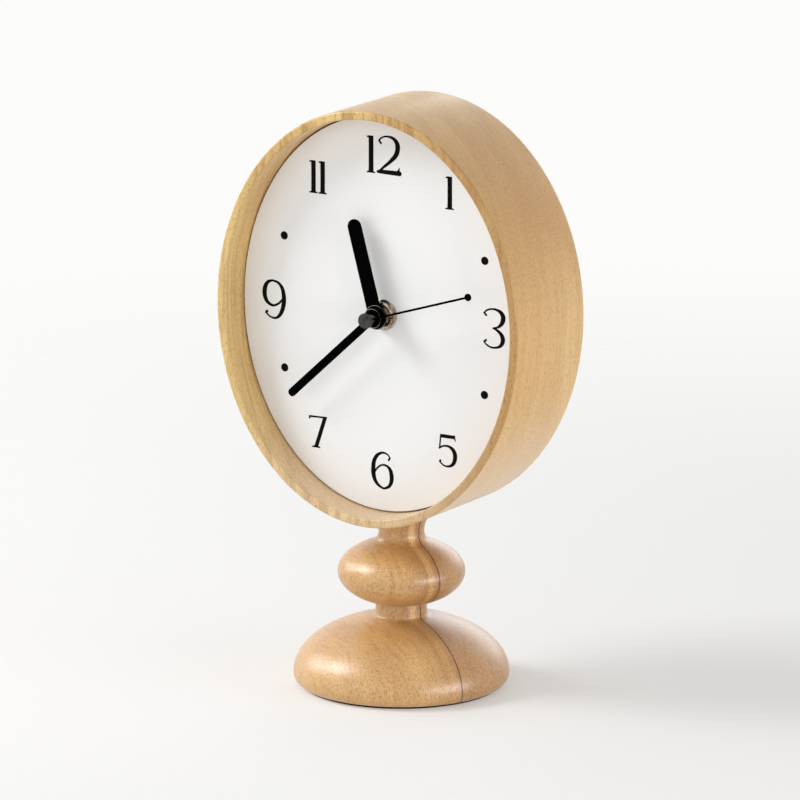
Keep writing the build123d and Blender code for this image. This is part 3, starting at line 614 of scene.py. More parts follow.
FINISHES = (
    Wood(
        "head_wood", HEAD_BOARD, line_strength=0.36, face=FACE_BOARD, painted_shade_side=0.6, pore_strength=0.6,
        dash_strength=0.5, grit_strength=0.48, coat=0.55,
    ),
    Wood(
        "pedestal_wood", STEM_BOARD, STEM_OTHER_BOARD, band_contrast=0.7, line_strength=0.34,
        pore_cell=(0.74, 0.74, 3.8), pore_share=0.85, pore_strength=0.4, grit_strength=0.62, dash_strength=0.55,
        coat=0.95, coat_roughness=0.34, coat_ior=1.66, body_gloss=0.22,
    ),
    Wood("raw_wood", RAW_BOARD, coat=0.0, roughness=0.72, relief=0.06),
    Fibre("board_fibre", srgb(122, 88, 60), srgb(166, 128, 92)),
    Fibre("pad_felt", srgb(48, 34, 28), srgb(74, 56, 48), relief=0.12),
    Coating("dial_white", srgb(248, 249, 250), Polish.SATIN, 0.006, 0.22, 0.004, 0.35),
    Coating("hand_black", srgb(5, 5, 5), Polish.MATT, 0.12, 0.3, 0.004, 0.0),
    Coating("dial_ink", srgb(12, 11, 10), Polish.MATT, 0.15, 0.25, 0.004, 0.04),
    Metal("cap_grey", srgb(74, 74, 70), srgb(48, 48, 46), Grain.ROUND, 0.46),
    Metal("hub_brass", srgb(200, 190, 178), srgb(128, 112, 96), Grain.ROUND, 0.16),
    Metal("zinc_steel", srgb(196, 194, 186), srgb(150, 146, 132), Grain.CAST, 0.36),
    Metal("arbor_steel", srgb(186, 186, 184), srgb(140, 138, 134), Grain.CAST, 0.28),
    Coating("gasket_rubber", srgb(30, 30, 31), Polish.FLAT, 0.1, 0.4, 0.03, 0.3),
    Coating("case_plastic", srgb(34, 34, 35), Polish.MATT, 0.12, 0.22, 0.025),
    Coating("bridge_plastic", srgb(216, 214, 206), Polish.SATIN, 0.04, 0.4, 0.01),
    Coating("gear_plastic", srgb(232, 229, 218), Polish.SATIN, 0.04, 0.3, 0.008),
    Jacket("battery_jacket", srgb(38, 42, 48), srgb(178, 116, 66), 13.5),
    Coating("circuit_green", srgb(28, 92, 58), Polish.SATIN, 0.15, 0.5, 0.02),
    Coating("chip_black", srgb(22, 22, 23), Polish.GLOSS, 0.1, 0.3, 0.02),
    Winding("coil_copper", srgb(196, 112, 66)),
    Metal("rotor_magnet", srgb(110, 110, 112), srgb(78, 78, 80), Grain.CAST, 0.45),
)

NODES_BY_FINISH = {
    "raw_wood": ("joint_block", "stem_dowels"),
    "zinc_steel": (
        "stem_washer", "stem_screw", "movement_screws", "positive_contact", "negative_contact", "quartz_crystal",
    ),
    "board_fibre": ("back_board",),
    "pad_felt": ("base_pad",),
    "gasket_rubber": ("gasket",),
    "hub_brass": ("centre_bushing", "cannon_pinion", "dial_washer", "hand_nut"),
    "case_plastic": ("movement_case", "movement_cover", "set_knob"),
    "bridge_plastic": ("gear_bridge", "coil_bobbin"),
    "battery_jacket": ("battery_cell",),
    "circuit_green": ("circuit_board",),
    "chip_black": ("chip",),
    "arbor_steel": ("stator", "coil_core"),
    "coil_copper": ("coil_winding",),
    "rotor_magnet": ("rotor",),
    "gear_plastic": (
        "intermediate_wheel", "seconds_wheel", "third_wheel", "minute_wheel", "motion_wheel", "hour_wheel",
    ),
    "dial_white": ("dial_plate",),
    "head_wood": ("head_ring",),
    "pedestal_wood": ("pedestal",),
    "hand_black": ("hour_hand", "minute_hand", "second_hand"),
    "cap_grey": ("second_hand_cap",),
}


# Shapes


BACKWARDS = Matrix.Rotation(-math.pi / 2, 4, "X")
FORWARDS = Matrix.Rotation(math.pi / 2, 4, "X")
SIDEWAYS = Matrix.Rotation(math.pi / 2, 4, "Y")


def at_head(x: float = 0.0, y: float = 0.0, z: float = 0.0) -> Matrix:
    """Move to a place in millimetres: X and Z from the head's centre, Y from the origin."""
    return Matrix.Translation(Vector((x, y, HEAD_CENTRE_Z + z)) * MM)


class Profile:
    """An outline in millimetres, as a radius and a height for each point."""

    def __init__(self, radius: float, height: float) -> None:
        """Start at a point."""
        self.points: list[Triple] = [(radius, height, 0.0)]

    def to(self, *points: Sequence[float]) -> "Profile":
        """Go straight from point to point; a third number says how far the ridges reach it, 0 to 1."""
        for radius, height, *ridge in points:
            self.points.append((radius, height, ridge[0] if ridge else 0.0))
        return self

    def arc(
        self, centre: Pair, radii: Pair, start: float, end: float, steps: int = 8, ridge: float = 0.0
    ) -> "Profile":
        """Follow an arc of a circle or an ellipse.

        Args:
            centre: The arc's centre.
            radii: Its half widths along the radius and the height.
            start: The angle that it starts at, in degrees.
            end: The angle that it ends at.
            steps: The number of pieces.
            ridge: How far the ridges reach it.

        Returns:
            The profile itself.
        """
        for step in range(steps + 1):
            angle = math.radians(start + (end - start) * step / steps)
            self.to((centre[0] + radii[0] * math.cos(angle), centre[1] + radii[1] * math.sin(angle), ridge))
        return self

    def mesh(self) -> bpy.types.Mesh:
        """Turn the outline into a mesh of points and edges, in metres."""
        kept = [self.points[0]]
        for point in self.points[1:]:
            if math.dist(point[:2], kept[-1][:2]) > 1e-4:
                kept.append(point)
        mesh = bpy.data.meshes.new("profile")
        places = [(radius * MM, ridge, height * MM) for radius, height, ridge in kept]
        mesh.from_pydata(places, [(i, i + 1) for i in range(len(kept) - 1)], [])
        return mesh


class Recipe:
    """A Geometry Nodes tree with named inputs, run on a mesh and turned into a plain one."""

    def __init__(self, name: str, inputs: dict[str, str]) -> None:
        """Start the tree.

        Args:
            name: The tree's name.
            inputs: The type of each named input, such as Int or Float.
        """
        self.tree = bpy.data.node_groups.new(name, "GeometryNodeTree")
        face = self.tree.interface
        face.new_socket("Geometry", in_out="INPUT", socket_type="NodeSocketGeometry")
        self.names = {}
        for label, kind in {**inputs, "Finish": "Material"}.items():
            socket = face.new_socket(label, in_out="INPUT", socket_type=f"NodeSocket{kind}")
            self.names[label] = socket.identifier
        face.new_socket("Geometry", in_out="OUTPUT", socket_type="NodeSocketGeometry")
        self.wiring = Wiring(self.tree)
        self.entry = self.wiring.add("NodeGroupInput").socket.node

    def given(self, label: str) -> Signal:
        """Take a named input."""
        return Signal(self.wiring, self.entry.outputs[label])

    def close(self, geometry: Signal) -> None:
        """Make the result real, give it its finish and end the tree."""
        real = self.wiring.add("GeometryNodeRealizeInstances", {}, {"Geometry": geometry})
        inputs = {"Geometry": real, "Material": self.given("Finish")}
        dressed = self.wiring.add("GeometryNodeSetMaterial", {}, inputs)
        self.wiring.add("NodeGroupOutput", {}, {"Geometry": dressed})

    def run(self, name: str, start: bpy.types.Mesh, finish: bpy.types.Material, **values: object) -> bpy.types.Mesh:
        """Run the tree on a mesh.

        Args:
            name: The result's name.
            start: The mesh that goes in.
            finish: The material that the result gets.
            values: The other inputs, with _ for a space.

        Returns:
            A plain mesh.
        """
        holder = bpy.data.objects.new(name, start)
        modifier = holder.modifiers.new("recipe", "NODES")
        modifier.node_group = self.tree
        modifier[self.names["Finish"]] = finish
        for label, value in values.items():
            modifier[self.names[label.replace("_", " ")]] = value
        return taken_from(holder)


def taken_from(holder: bpy.types.Object) -> bpy.types.Mesh:
    """Turn a passing object into a plain mesh of its name, and remove the object."""
    bpy.context.scene.collection.objects.link(holder)
    evaluated = holder.evaluated_get(bpy.context.evaluated_depsgraph_get())
    mesh = bpy.data.meshes.new_from_object(evaluated)
    mesh.name = holder.name
    bpy.data.objects.remove(holder)
    return mesh


class Lathe(Recipe):
    """Turns a profile round an axis into a closed body, round, oval or ridged."""

    def __init__(self) -> None:
        """Build the tree."""
        sizes = {"Segments": "Int", "Half width": "Float", "Half height": "Float", "Ridges": "Int"}
        super().__init__("lathe", {**sizes, "Ridge depth": "Float"})
        add = self.wiring.add
        outline = self.given("Geometry")
        count = add("GeometryNodeAttributeDomainSize", {"component": "MESH"}, {"Geometry": outline})
        grid_sizes = {"Size X": 1.0, "Size Y": 1.0, "Vertices X": count, "Vertices Y": self.given("Segments") + 1}
        grid = add("GeometryNodeMeshGrid", {}, grid_sizes)
        place = add("GeometryNodeInputPosition")
        u, v, _ = place.parts()
        column = (u + 0.5) * (count - 1) + 0.5
        sample = {"data_type": "FLOAT_VECTOR", "domain": "POINT"}
        floored = column.combine("FLOOR", column)
        taken = add("GeometryNodeSampleIndex", sample, {"Geometry": outline, "Value": place, "Index": floored})
        radius, ridge, height = taken.parts()
        angle = (v + 0.5) * math.tau
        wave = (angle * self.given("Ridges")).cosine() * 0.5 + 0.5
        radius = radius - wave * wave * wave * ridge * self.given("Ridge depth")
        x = (self.given("Half width") + radius) * angle.cosine()
        y = (self.given("Half height") + radius) * angle.combine("SINE", angle)
        shaped = add("GeometryNodeSetPosition", {}, {"Geometry": grid, "Position": self.wiring.vector(x, y, height)})
        self.close(add("GeometryNodeMergeByDistance", {}, {"Geometry": shaped, "Distance": 1e-6}))


class SetOut(Recipe):
    """Sets out copies of one mesh on an upright grid of two rows and two columns."""

    def __init__(self) -> None:
        """Build the tree."""
        super().__init__("set_out", {"Width": "Float", "Height": "Float"})
        add = self.wiring.add
        spans = {"Size X": self.given("Width"), "Size Y": self.given("Height")}
        grid = add("GeometryNodeMeshGrid", {}, {**spans, "Vertices X": 2, "Vertices Y": 2})
        x, z, _ = add("GeometryNodeInputPosition").parts()
        upright = add("GeometryNodeSetPosition", {}, {"Geometry": grid, "Position": self.wiring.vector(x, 0.0, z)})
        points = {"Points": upright, "Instance": self.given("Geometry")}
        self.close(add("GeometryNodeInstanceOnPoints", {}, points))


def settle(name: str, mesh: bpy.types.Mesh, matrix: Matrix, sharp: float = 35.0) -> bpy.types.Object:
    """Put a mesh in its place and make it an object at the origin.

    Args:
        name: The piece's name.
        mesh: Its mesh.
        matrix: The place, applied to the mesh.
        sharp: The angle in degrees from which an edge stays sharp.

    Returns:
        The object, with its faces turned outwards and smooth.
    """
    mesh.transform(matrix)
    work = bmesh.new()
    work.from_mesh(mesh)
    bmesh.ops.remove_doubles(work, verts=work.verts, dist=1e-7)
    bmesh.ops.recalc_face_normals(work, faces=work.faces)
    for face in work.faces:
        face.smooth = True
    work.to_mesh(mesh)
    work.free()
    mesh.set_sharp_from_angle(angle=math.radians(sharp))
    piece = bpy.data.objects.new(name, mesh)
    bpy.context.scene.collection.objects.link(piece)
    return piece


def fit(piece: bpy.types.Object, body: str, slot: str, *nodes: str) -> None:
    """Put a piece on its body, and let it stand for its nodes.

    Args:
        piece: The piece, already in place.
        body: The body that it moves with.
        slot: The record's material slot; not used.
        nodes: The nodes that it replaces.
    """
    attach(piece, body)
    if nodes:
        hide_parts(*nodes)
    log.info("%s: %d faces on %s", piece.name, len(piece.data.polygons), body)


def solid_mesh(name: str, work: bmesh.types.BMesh, finish: bpy.types.Material) -> bpy.types.Mesh:
    """End work on a mesh and give it its finish."""
    mesh = bpy.data.meshes.new(name)
    work.to_mesh(mesh)
    work.free()
    mesh.materials.append(finish)
    return mesh


class Workshop:
    """The finishes and recipes that every sub-assembly is made with."""

    def __init__(self) -> None:
        """Build the materials and the recipes."""
        self.finishes = {finish.name: finish.material() for finish in FINISHES}
        self.lathe = Lathe()
        self.set_out = SetOut()

    def dress_frame(self) -> None:
        """Give every carried-over node its finish."""
        for finish, nodes in NODES_BY_FINISH.items():
            for node in nodes:
                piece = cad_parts[node]
                if not piece.material_slots:
                    piece.data.materials.append(self.finishes[finish])
                for slot in piece.material_slots:
                    slot.material = self.finishes[finish]

    def turned(
        self, name: str, profile: Profile, finish: str, place: Matrix, segments: int = 96, half: Pair = (0.0, 0.0),
        ridges: int = 0, ridge_depth: float = 0.0,
    ) -> bpy.types.Object:
        """Turn one piece.

        Args:
            name: The piece's name.
            profile: Its outline.
            finish: Its finish.
            place: Its place.
            segments: The number of steps round.
            half: The half axes of an oval, in millimetres, or zeros for a round piece.
            ridges: The number of grooves round it.
            ridge_depth: Their depth in millimetres.

        Returns:
            The piece, in its place.
        """
        oval = {"Half_width": half[0] * MM, "Half_height": half[1] * MM}
        sizes = {"Segments": segments, "Ridges": ridges, "Ridge_depth": ridge_depth * MM}
        mesh = self.lathe.run(name, profile.mesh(), self.finishes[finish], **oval, **sizes)
        return settle(name, mesh, place)

    def turn(
        self, name: str, profile: Profile, place: Matrix, segments: int, body: str, slot: str, *nodes: str
    ) -> None:
        """Turn a round piece in its slot's finish and put it on its body, in place of its nodes."""
        fit(self.turned(name, profile, slot, place, segments), body, slot, *nodes)

    def four(
        self, name: str, profile: Profile, finish: str, segments: int, spans: Pair, place: Matrix
    ) -> bpy.types.Object:
        """Turn a small piece that faces backwards and set out four of it.

        Args:
            name: The piece's name.
            profile: The outline of one.
            finish: Its finish.
            segments: The number of steps round one.
            spans: The width and height between them, in millimetres.
            place: The middle between them.

        Returns:
            One object with all four.
        """
        metal = self.finishes[finish]
        one = self.lathe.run(f"{name}_one", profile.mesh(), metal, Segments=segments)
        one.transform(BACKWARDS)
        copies = self.set_out.run(name, one, metal, Width=spans[0] * MM, Height=spans[1] * MM)
        return settle(name, copies, place)

    def sheet(
        self, name: str, loops: Sequence[Sequence[Pair]], thickness: float, bevel: float, finish: str, place: Matrix
    ) -> bpy.types.Object:
        """Cut a flat piece from sheet, with its edges broken.

        Args:
            name: The piece's name.
            loops: Closed outlines, the first one outside and the others holes, in millimetres.
            thickness: The whole thickness, bevels included.
            bevel: The width of the broken edge.
            finish: Its finish.
            place: The place of the sheet's middle plane, which faces the viewer.

        Returns:
            The finished piece.
        """
        curve = bpy.data.curves.new(name, "CURVE")
        curve.dimensions = "2D"
        curve.fill_mode = "BOTH"
        curve.extrude = (thickness / 2 - bevel) * MM
        curve.bevel_depth = bevel * MM
        curve.bevel_resolution = 2
        curve.offset = -bevel * MM
        for loop in loops:
            spline = curve.splines.new("POLY")
            spline.points.add(len(loop) - 1)
            spline.use_cyclic_u = True
            for point, (x, z) in zip(spline.points, loop):
                point.co = (x * MM, z * MM, 0.0, 1.0)
        mesh = taken_from(bpy.data.objects.new(name, curve))
        mesh.materials.clear()
        mesh.materials.append(self.finishes[finish])
        return settle(name, mesh, place @ FORWARDS, 30.0)


def round_points(radius: float, start: float, end: float, steps: int, rise: float = 0.0) -> list[Pair]:
    """Give the points of an arc in equal steps, both ends included; angles in radians."""
    angles = [start + (end - start) * step / steps for step in range(steps + 1)]
    return [(radius * math.cos(angle), rise + radius * math.sin(angle)) for angle in angles]


# Sub-assemblies


@dataclass(frozen=True)
class Head:
    """The oval drum, in millimetres; heights run back along Y."""

    half: Pair = (70.6, 85.0)
    front: float = -27.8
    rear: float = 26.2
    rim_wall: float = 3.6
    rear_wall: float = 6.0
    step: float = -6.5
    edge_rounds: tuple[float, float, float, float] = (0.9, 0.7, 2.5, 1.0)
    segments: int = 320

    def build(self, shop: Workshop) -> None:
        """Build the drum as one oval turning."""
        outer, bore, rear_outer, rear_bore = self.edge_rounds
        rim, rear = -self.rim_wall, -self.rear_wall
        profile = Profile(-outer, self.front).to((rim + bore, self.front))
        profile.arc((rim + bore, self.front + bore), (bore, bore), -90, -180, 6)
        profile.to((rim, self.step), (rear, self.step))
        profile.arc((rear + rear_bore, self.rear - rear_bore), (rear_bore, rear_bore), 180, 90, 6)
        profile.arc((-rear_outer, self.rear - rear_outer), (rear_outer, rear_outer), 90, 0, 10)
        profile.arc((-outer, self.front + outer), (outer, outer), 0, -90, 8)
        place = at_head() @ BACKWARDS
        drum = shop.turned("drum", profile, "head_wood", place, self.segments, self.half)
        fit(drum, "stand", "head_wood", "head_ring")

    def underside(self, x: float) -> float:
        """Give the height of the drum's underside at a place across it."""
        width, height = self.half
        return HEAD_CENTRE_Z - height * math.sqrt(1 - (x / width) ** 2)


@dataclass(frozen=True)
class Pedestal:
    """Base, necks and bulb, turned from one glued-up blank, and the pad under them."""

    foot: Pair = (41.6, 1.2)
    base: Pair = (44.0, 5.2)
    dome_rise: float = 24.2
    lower_neck: float = 10.5
    foot_edge: float = 0.6
    neck_round: float = 1.0
    neck_rise: float = 1.2
    neck_short: float = 1.4
    bulb: Pair = (25.95, 13.85)
    bulb_z: float = 47.4
    shoulder: float = 11.8
    upper_neck: Pair = (9.3, 63.9)
    top: Pair = (13.9, 73.0)
    head_gap: float = 0.05
    pad: Pair = (40.0, 1.2)
    pad_round: float = 0.3

    def build(self, shop: Workshop, head: Head) -> None:
        """Turn the pedestal, hollow its top to the head's curve, and lay the pad."""
        foot, foot_z = self.foot
        r, z = self.base
        heel, end = hollow_arc(r - foot, z - foot_z)
        profile = Profile(0.0, foot_z).to((foot - self.foot_edge, foot_z))
        profile.arc((r - heel, z), (heel, heel), -end, 0, 10)
        dome_end = math.degrees(math.acos(self.lower_neck / r))
        profile.arc((0, z), (r, self.dome_rise), 0, dome_end - self.neck_short, 60)
        neck_low = z + self.dome_rise * math.sin(math.radians(dome_end))
        e = self.neck_round
        profile.arc((self.lower_neck + e, neck_low + self.neck_rise), (e, e), -135, -180, 5)
        wide, tall = self.bulb
        low = -math.degrees(math.acos(self.lower_neck / wide))
        high = math.degrees(math.acos(self.shoulder / wide))
        profile.arc((0, self.bulb_z), (wide, tall), low, high, 72)
        neck, neck_z = self.upper_neck
        bulb_top = self.bulb_z + tall * math.sin(math.radians(high))
        curve, start = hollow_arc(self.shoulder - neck, neck_z - bulb_top)
        profile.arc((neck + curve, neck_z), (curve, curve), 180 + start, 180, 12)
        flare, finish_at = hollow_arc(self.top[0] - neck, self.top[1] - neck_z)
        profile.arc((neck + flare, neck_z), (flare, flare), 180, 180 - finish_at, 16)
        profile.to((0.0, self.top[1]))
        floor = Matrix.Identity(4)
        piece = shop.turned("turned_pedestal", profile, "pedestal_wood", floor, 192)
        for vertex in piece.data.vertices:
            limit = head.underside(vertex.co.x / MM) - self.head_gap
            vertex.co.z = min(vertex.co.z, limit * MM)
        fit(piece, "stand", "pedestal_wood", "pedestal")
        radius, height = self.pad
        e = self.pad_round
        edge = Profile(0.0, 0.0).to((radius - e, 0.0)).arc((radius - e, e), (e, e), -90, 0, 3)
        edge.to((radius, height), (0.0, height))
        shop.turn("felt_pad", edge, floor, 128, "stand", "pad_felt", "base_pad")


def hollow_arc(step: float, rise: float) -> Pair:
    """Fit an arc that leaves upright and ends a step aside and a rise on; give its radius and its degrees."""
    radius = (step**2 + rise**2) / (2 * step)
    return radius, math.degrees(math.asin(rise / radius))


ONE: tuple[Stroke, ...] = (
    ((0.0, 0.0, 1.95), (0.02, -6.5, 1.9), (0.0, -13.0, 1.95)),
    ((-1.9, -0.55, 0.55), (-1.3, -0.42, 0.6), (-0.2, -0.3, 0.7)),
    ((-1.8, -13.1, 0.5), (-0.9, -12.95, 0.75), (-0.05, -12.75, 1.15), (0.8, -12.95, 0.75), (1.7, -13.1, 0.5)),
)

NUMERALS: dict[str, tuple[Stroke, ...]] = {
    "two": (
        ((-1.2, 69.85, 0.8), (-1.7, 70.4, 0.85), (-2.15, 70.9, 0.7)),
        (
            (-2.2, 70.85, 0.65), (-0.8, 72.2, 0.65), (1.7, 72.85, 0.7), (4.4, 72.3, 1.2), (6.2, 70.6, 1.8),
            (6.6, 68.4, 2.0), (5.75, 65.65, 1.85), (3.35, 63.0, 1.4), (0.4, 60.55, 1.0), (-2.15, 58.3, 0.85),
        ),
        ((-2.65, 58.2, 1.15), (-0.8, 58.3, 1.5), (3.0, 58.3, 1.65), (7.5, 58.3, 1.8)),
        ((6.85, 58.9, 1.3), (7.15, 59.7, 0.8), (7.4, 60.6, 0.3)),
    ),
    "three": (
        ((47.95, 5.4, 0.85), (47.4, 5.85, 0.8), (47.0, 6.3, 0.65)),
        (
            (46.95, 6.2, 0.6), (48.2, 7.4, 0.65), (50.1, 8.05, 0.7), (52.2, 8.1, 0.85), (54.2, 7.45, 1.35),
            (55.45, 6.2, 1.8), (55.8, 4.7, 1.9), (55.3, 3.0, 1.7), (54.1, 1.5, 1.1), (52.8, 0.8, 0.75),
            (51.3, 0.35, 0.85),
        ),
        (
            (51.25, 0.45, 0.7), (52.9, -0.25, 0.95), (54.5, -1.4, 1.4), (55.45, -2.8, 1.75), (55.65, -4.2, 1.8),
            (55.1, -5.8, 1.5), (53.8, -6.95, 1.0), (51.7, -7.5, 0.75), (49.6, -7.3, 0.7), (47.8, -6.35, 0.65),
            (46.9, -5.45, 0.6),
        ),
        ((46.95, -5.5, 0.65), (47.3, -5.2, 0.8), (47.85, -4.75, 0.85)),
    ),
    "nine": (
        (
            (-52.9, 8.15, 0.8), (-55.0, 7.35, 1.25), (-56.3, 5.45, 1.75), (-56.75, 3.0, 1.9), (-56.35, 0.65, 1.75),
            (-55.1, -1.2, 1.35), (-52.75, -2.2, 0.95), (-50.2, -1.25, 0.85), (-48.1, 0.7, 0.8),
        ),
        (
            (-53.1, 8.15, 0.8), (-50.25, 7.5, 1.0), (-48.25, 5.3, 1.5), (-47.5, 1.95, 1.85), (-47.6, -1.2, 1.85),
            (-48.5, -4.25, 1.6), (-50.0, -6.45, 1.2), (-51.8, -7.35, 0.85), (-53.8, -7.05, 0.7), (-55.45, -6.05, 0.65),
            (-56.15, -5.35, 0.7),
        ),
        ((-56.1, -5.4, 0.8), (-55.8, -5.1, 1.15), (-55.6, -4.95, 1.1)),
    ),
    "six": (
        ((2.3, -59.65, 0.8), (2.6, -59.3, 0.8), (2.95, -58.8, 0.65)),
        (
            (2.95, -58.85, 0.6), (2.0, -57.6, 0.65), (0.35, -56.95, 0.75), (-1.35, -57.15, 0.95), (-3.1, -58.3, 1.35),
            (-4.35, -60.2, 1.6), (-4.9, -62.5, 1.75), (-4.95, -65.4, 1.85), (-4.35, -68.2, 1.6), (-2.85, -70.3, 1.2),
            (-0.65, -71.55, 0.85), (0.8, -71.5, 0.9), (2.55, -70.5, 1.2), (3.6, -68.5, 1.6), (3.7, -66.05, 1.8),
            (3.1, -63.8, 1.5), (1.75, -62.4, 1.0), (-0.25, -61.95, 0.75), (-2.2, -62.8, 0.7), (-3.6, -64.2, 0.7),
            (-4.4, -65.6, 0.6),
        ),
    ),
    "five": (
        ((26.65, -46.45, 1.35), (30.0, -46.45, 1.35), (33.65, -46.45, 1.35)),
        ((33.3, -46.6, 0.7), (33.55, -47.4, 0.5), (33.7, -48.1, 0.35)),
        ((26.9, -46.0, 0.6), (26.6, -48.6, 0.6), (26.35, -51.5, 0.65)),
        (
            (26.2, -51.6, 0.65), (27.5, -50.75, 0.7), (29.0, -50.4, 0.75), (30.65, -50.5, 0.95), (32.25, -51.35, 1.4),
            (33.3, -52.75, 1.7), (33.6, -54.5, 1.8), (33.3, -56.25, 1.65), (32.45, -57.7, 1.3), (31.2, -58.5, 0.95),
            (29.95, -58.75, 0.75), (28.45, -58.55, 0.65), (26.95, -57.65, 0.6), (26.35, -57.05, 0.6),
        ),
        ((26.3, -57.15, 0.65), (26.6, -56.85, 0.85), (27.0, -56.5, 0.85)),
    ),
    "seven": (
        ((-35.3, -47.1, 0.45), (-35.3, -46.6, 0.75), (-35.1, -46.15, 0.85)),
        ((-35.6, -46.05, 0.75), (-31.5, -45.95, 0.7), (-27.0, -45.85, 0.7)),
        ((-27.95, -45.9, 1.6), (-30.05, -52.1, 1.6), (-32.2, -58.4, 1.6)),
        ((-34.0, -58.5, 0.5), (-33.1, -58.4, 0.7), (-32.2, -58.25, 0.95), (-31.3, -58.4, 0.7), (-30.5, -58.55, 0.5)),
    ),
}


@dataclass(frozen=True)
class DialPrint:
    """The numerals and dots, as thin ink on the dial's face, in millimetres from its centre."""

    ink: float = 0.04
    ink_step: float = 0.002
    dot_radius: float = 1.7
    dot_spans: Pair = (94.4, 54.6)
    weight: float = 1.1
    ones: tuple[tuple[float, float, float, float], ...] = (
        (-5.9, 72.5, 1.135, 1.06),
        (30.9, 59.6, 1.0, 1.0),
        (-33.15, 59.6, 1.0, 1.0),
        (-28.8, 59.6, 1.0, 1.0),
    )
    square_ended: frozenset[str] = frozenset({"five", "seven"})
    path_steps: int = 7
    cap_steps: int = 8

    def build(self, shop: Workshop) -> None:
        """Print the numerals and the dots."""
        for number, (x, top, taller, bolder) in enumerate(self.ones):
            strokes = [[(x + px, top + pz * taller, width * bolder) for px, pz, width in stroke] for stroke in ONE]
            self.numeral(shop, f"numeral_one_{number + 1}", strokes, square=True)
        for name, strokes in NUMERALS.items():
            self.numeral(shop, f"numeral_{name}", strokes, square=name in self.square_ended)
        r, high = self.dot_radius, -self.ink
        dot = Profile(0.0, 0.0).to((r, 0.0), (r, high), (0.0, high))
        dots = shop.four("hour_dots", dot, "dial_ink", 40, self.dot_spans, at_head(y=DIAL_FACE_Y))
        fit(dots, "stand", "hand_black")

    def numeral(self, shop: Workshop, name: str, strokes: Sequence[Stroke], square: bool) -> None:
        """Print one numeral.

        Args:
            shop: The finishes.
            name: The piece's name.
            strokes: Its pen strokes, each a row of places with the pen's width.
            square: Whether straight strokes end square.
        """
        work = bmesh.new()
        for number, stroke in enumerate(strokes):
            straight = square and len(stroke) == 3
            self.draw(work, self.smoothed(stroke), not straight, self.ink - self.ink_step * (number % 4))
        mesh = solid_mesh(name, work, shop.finishes["dial_ink"])
        fit(settle(name, mesh, at_head(y=DIAL_FACE_Y)), "stand", "hand_black")

    def draw(self, work: bmesh.types.BMesh, path: list[Triple], round_ends: bool, height: float) -> None:
        """Draw one stroke as a thin closed solid.

        Args:
            work: The mesh that it goes into.
            path: Places with the pen's width, close together.
            round_ends: Whether it ends round.
            height: The ink's thickness.
        """
        rows = []
        for index, (x, z, width) in enumerate(path):
            before, after = path[max(index - 1, 0)], path[min(index + 1, len(path) - 1)]
            ahead = Vector((after[0] - before[0], after[1] - before[1])).normalized()
            side = Vector((-ahead.y, ahead.x)) * width / 2 * self.weight
            rows.append(((x + side.x, z + side.y), (x - side.x, z - side.y)))

        def raised(points: Sequence[Pair], y: float) -> list[bmesh.types.BMVert]:
            """Add points at a height over the dial."""
            return [work.verts.new((x * MM, -y * MM, z * MM)) for x, z in points]

        tops = [raised(row, height) for row in rows]
        feet = [raised(row, 0.0) for row in rows]
        for (top, next_top), (foot, next_foot) in zip(zip(tops, tops[1:]), zip(feet, feet[1:])):
            work.faces.new((top[0], top[1], next_top[1], next_top[0]))
            work.faces.new((foot[0], next_foot[0], next_foot[1], foot[1]))
            for side in (0, 1):
                work.faces.new((top[side], next_top[side], next_foot[side], foot[side]))
        start = self.cap(path[0], path[1], -1) if round_ends else []
        end = self.cap(path[-1], path[-2], 1) if round_ends else []
        for row, points in ((0, start), (-1, end)):
            rim_top = [tops[row][0], *raised(points, height), tops[row][1]]
            rim_foot = [feet[row][0], *raised(points, 0.0), feet[row][1]]
            if points:
                work.faces.new(rim_top)
                work.faces.new(rim_foot[::-1])
            for i in range(len(rim_top) - 1):
                work.faces.new((rim_top[i], rim_top[i + 1], rim_foot[i + 1], rim_foot[i]))

    def cap(self, tip: Triple, inner: Triple, hand: int) -> list[Pair]:
        """Give the points of a round end, from the stroke's left side to its right; hand is -1 at its start."""
        ahead = Vector((tip[0] - inner[0], tip[1] - inner[1])).normalized()
        side = Vector((-ahead.y, ahead.x)) * hand
        radius = tip[2] * self.weight / 2
        points = []
        for step in range(1, self.cap_steps):
            angle = math.pi * step / self.cap_steps
            place = side * math.cos(angle) + ahead * math.sin(angle)
            points.append((tip[0] + place.x * radius, tip[1] + place.y * radius))
        return points

    def smoothed(self, stroke: Stroke) -> list[Triple]:
        """Run a smooth line through the places of a stroke."""
        points = [Vector(point) for point in stroke]
        padded = [2 * points[0] - points[1], *points, 2 * points[-1] - points[-2]]
        path = []
        for a, b, c, d in zip(padded, padded[1:], padded[2:], padded[3:]):
            for step in range(self.path_steps):
                t = step / self.path_steps
                square, cube = 2 * a - 5 * b + 4 * c - d, 3 * b - a - 3 * c + d
                path.append(0.5 * (2 * b + (c - a) * t + square * t**2 + cube * t**3))
        return [tuple(point) for point in (*path, points[-1])]


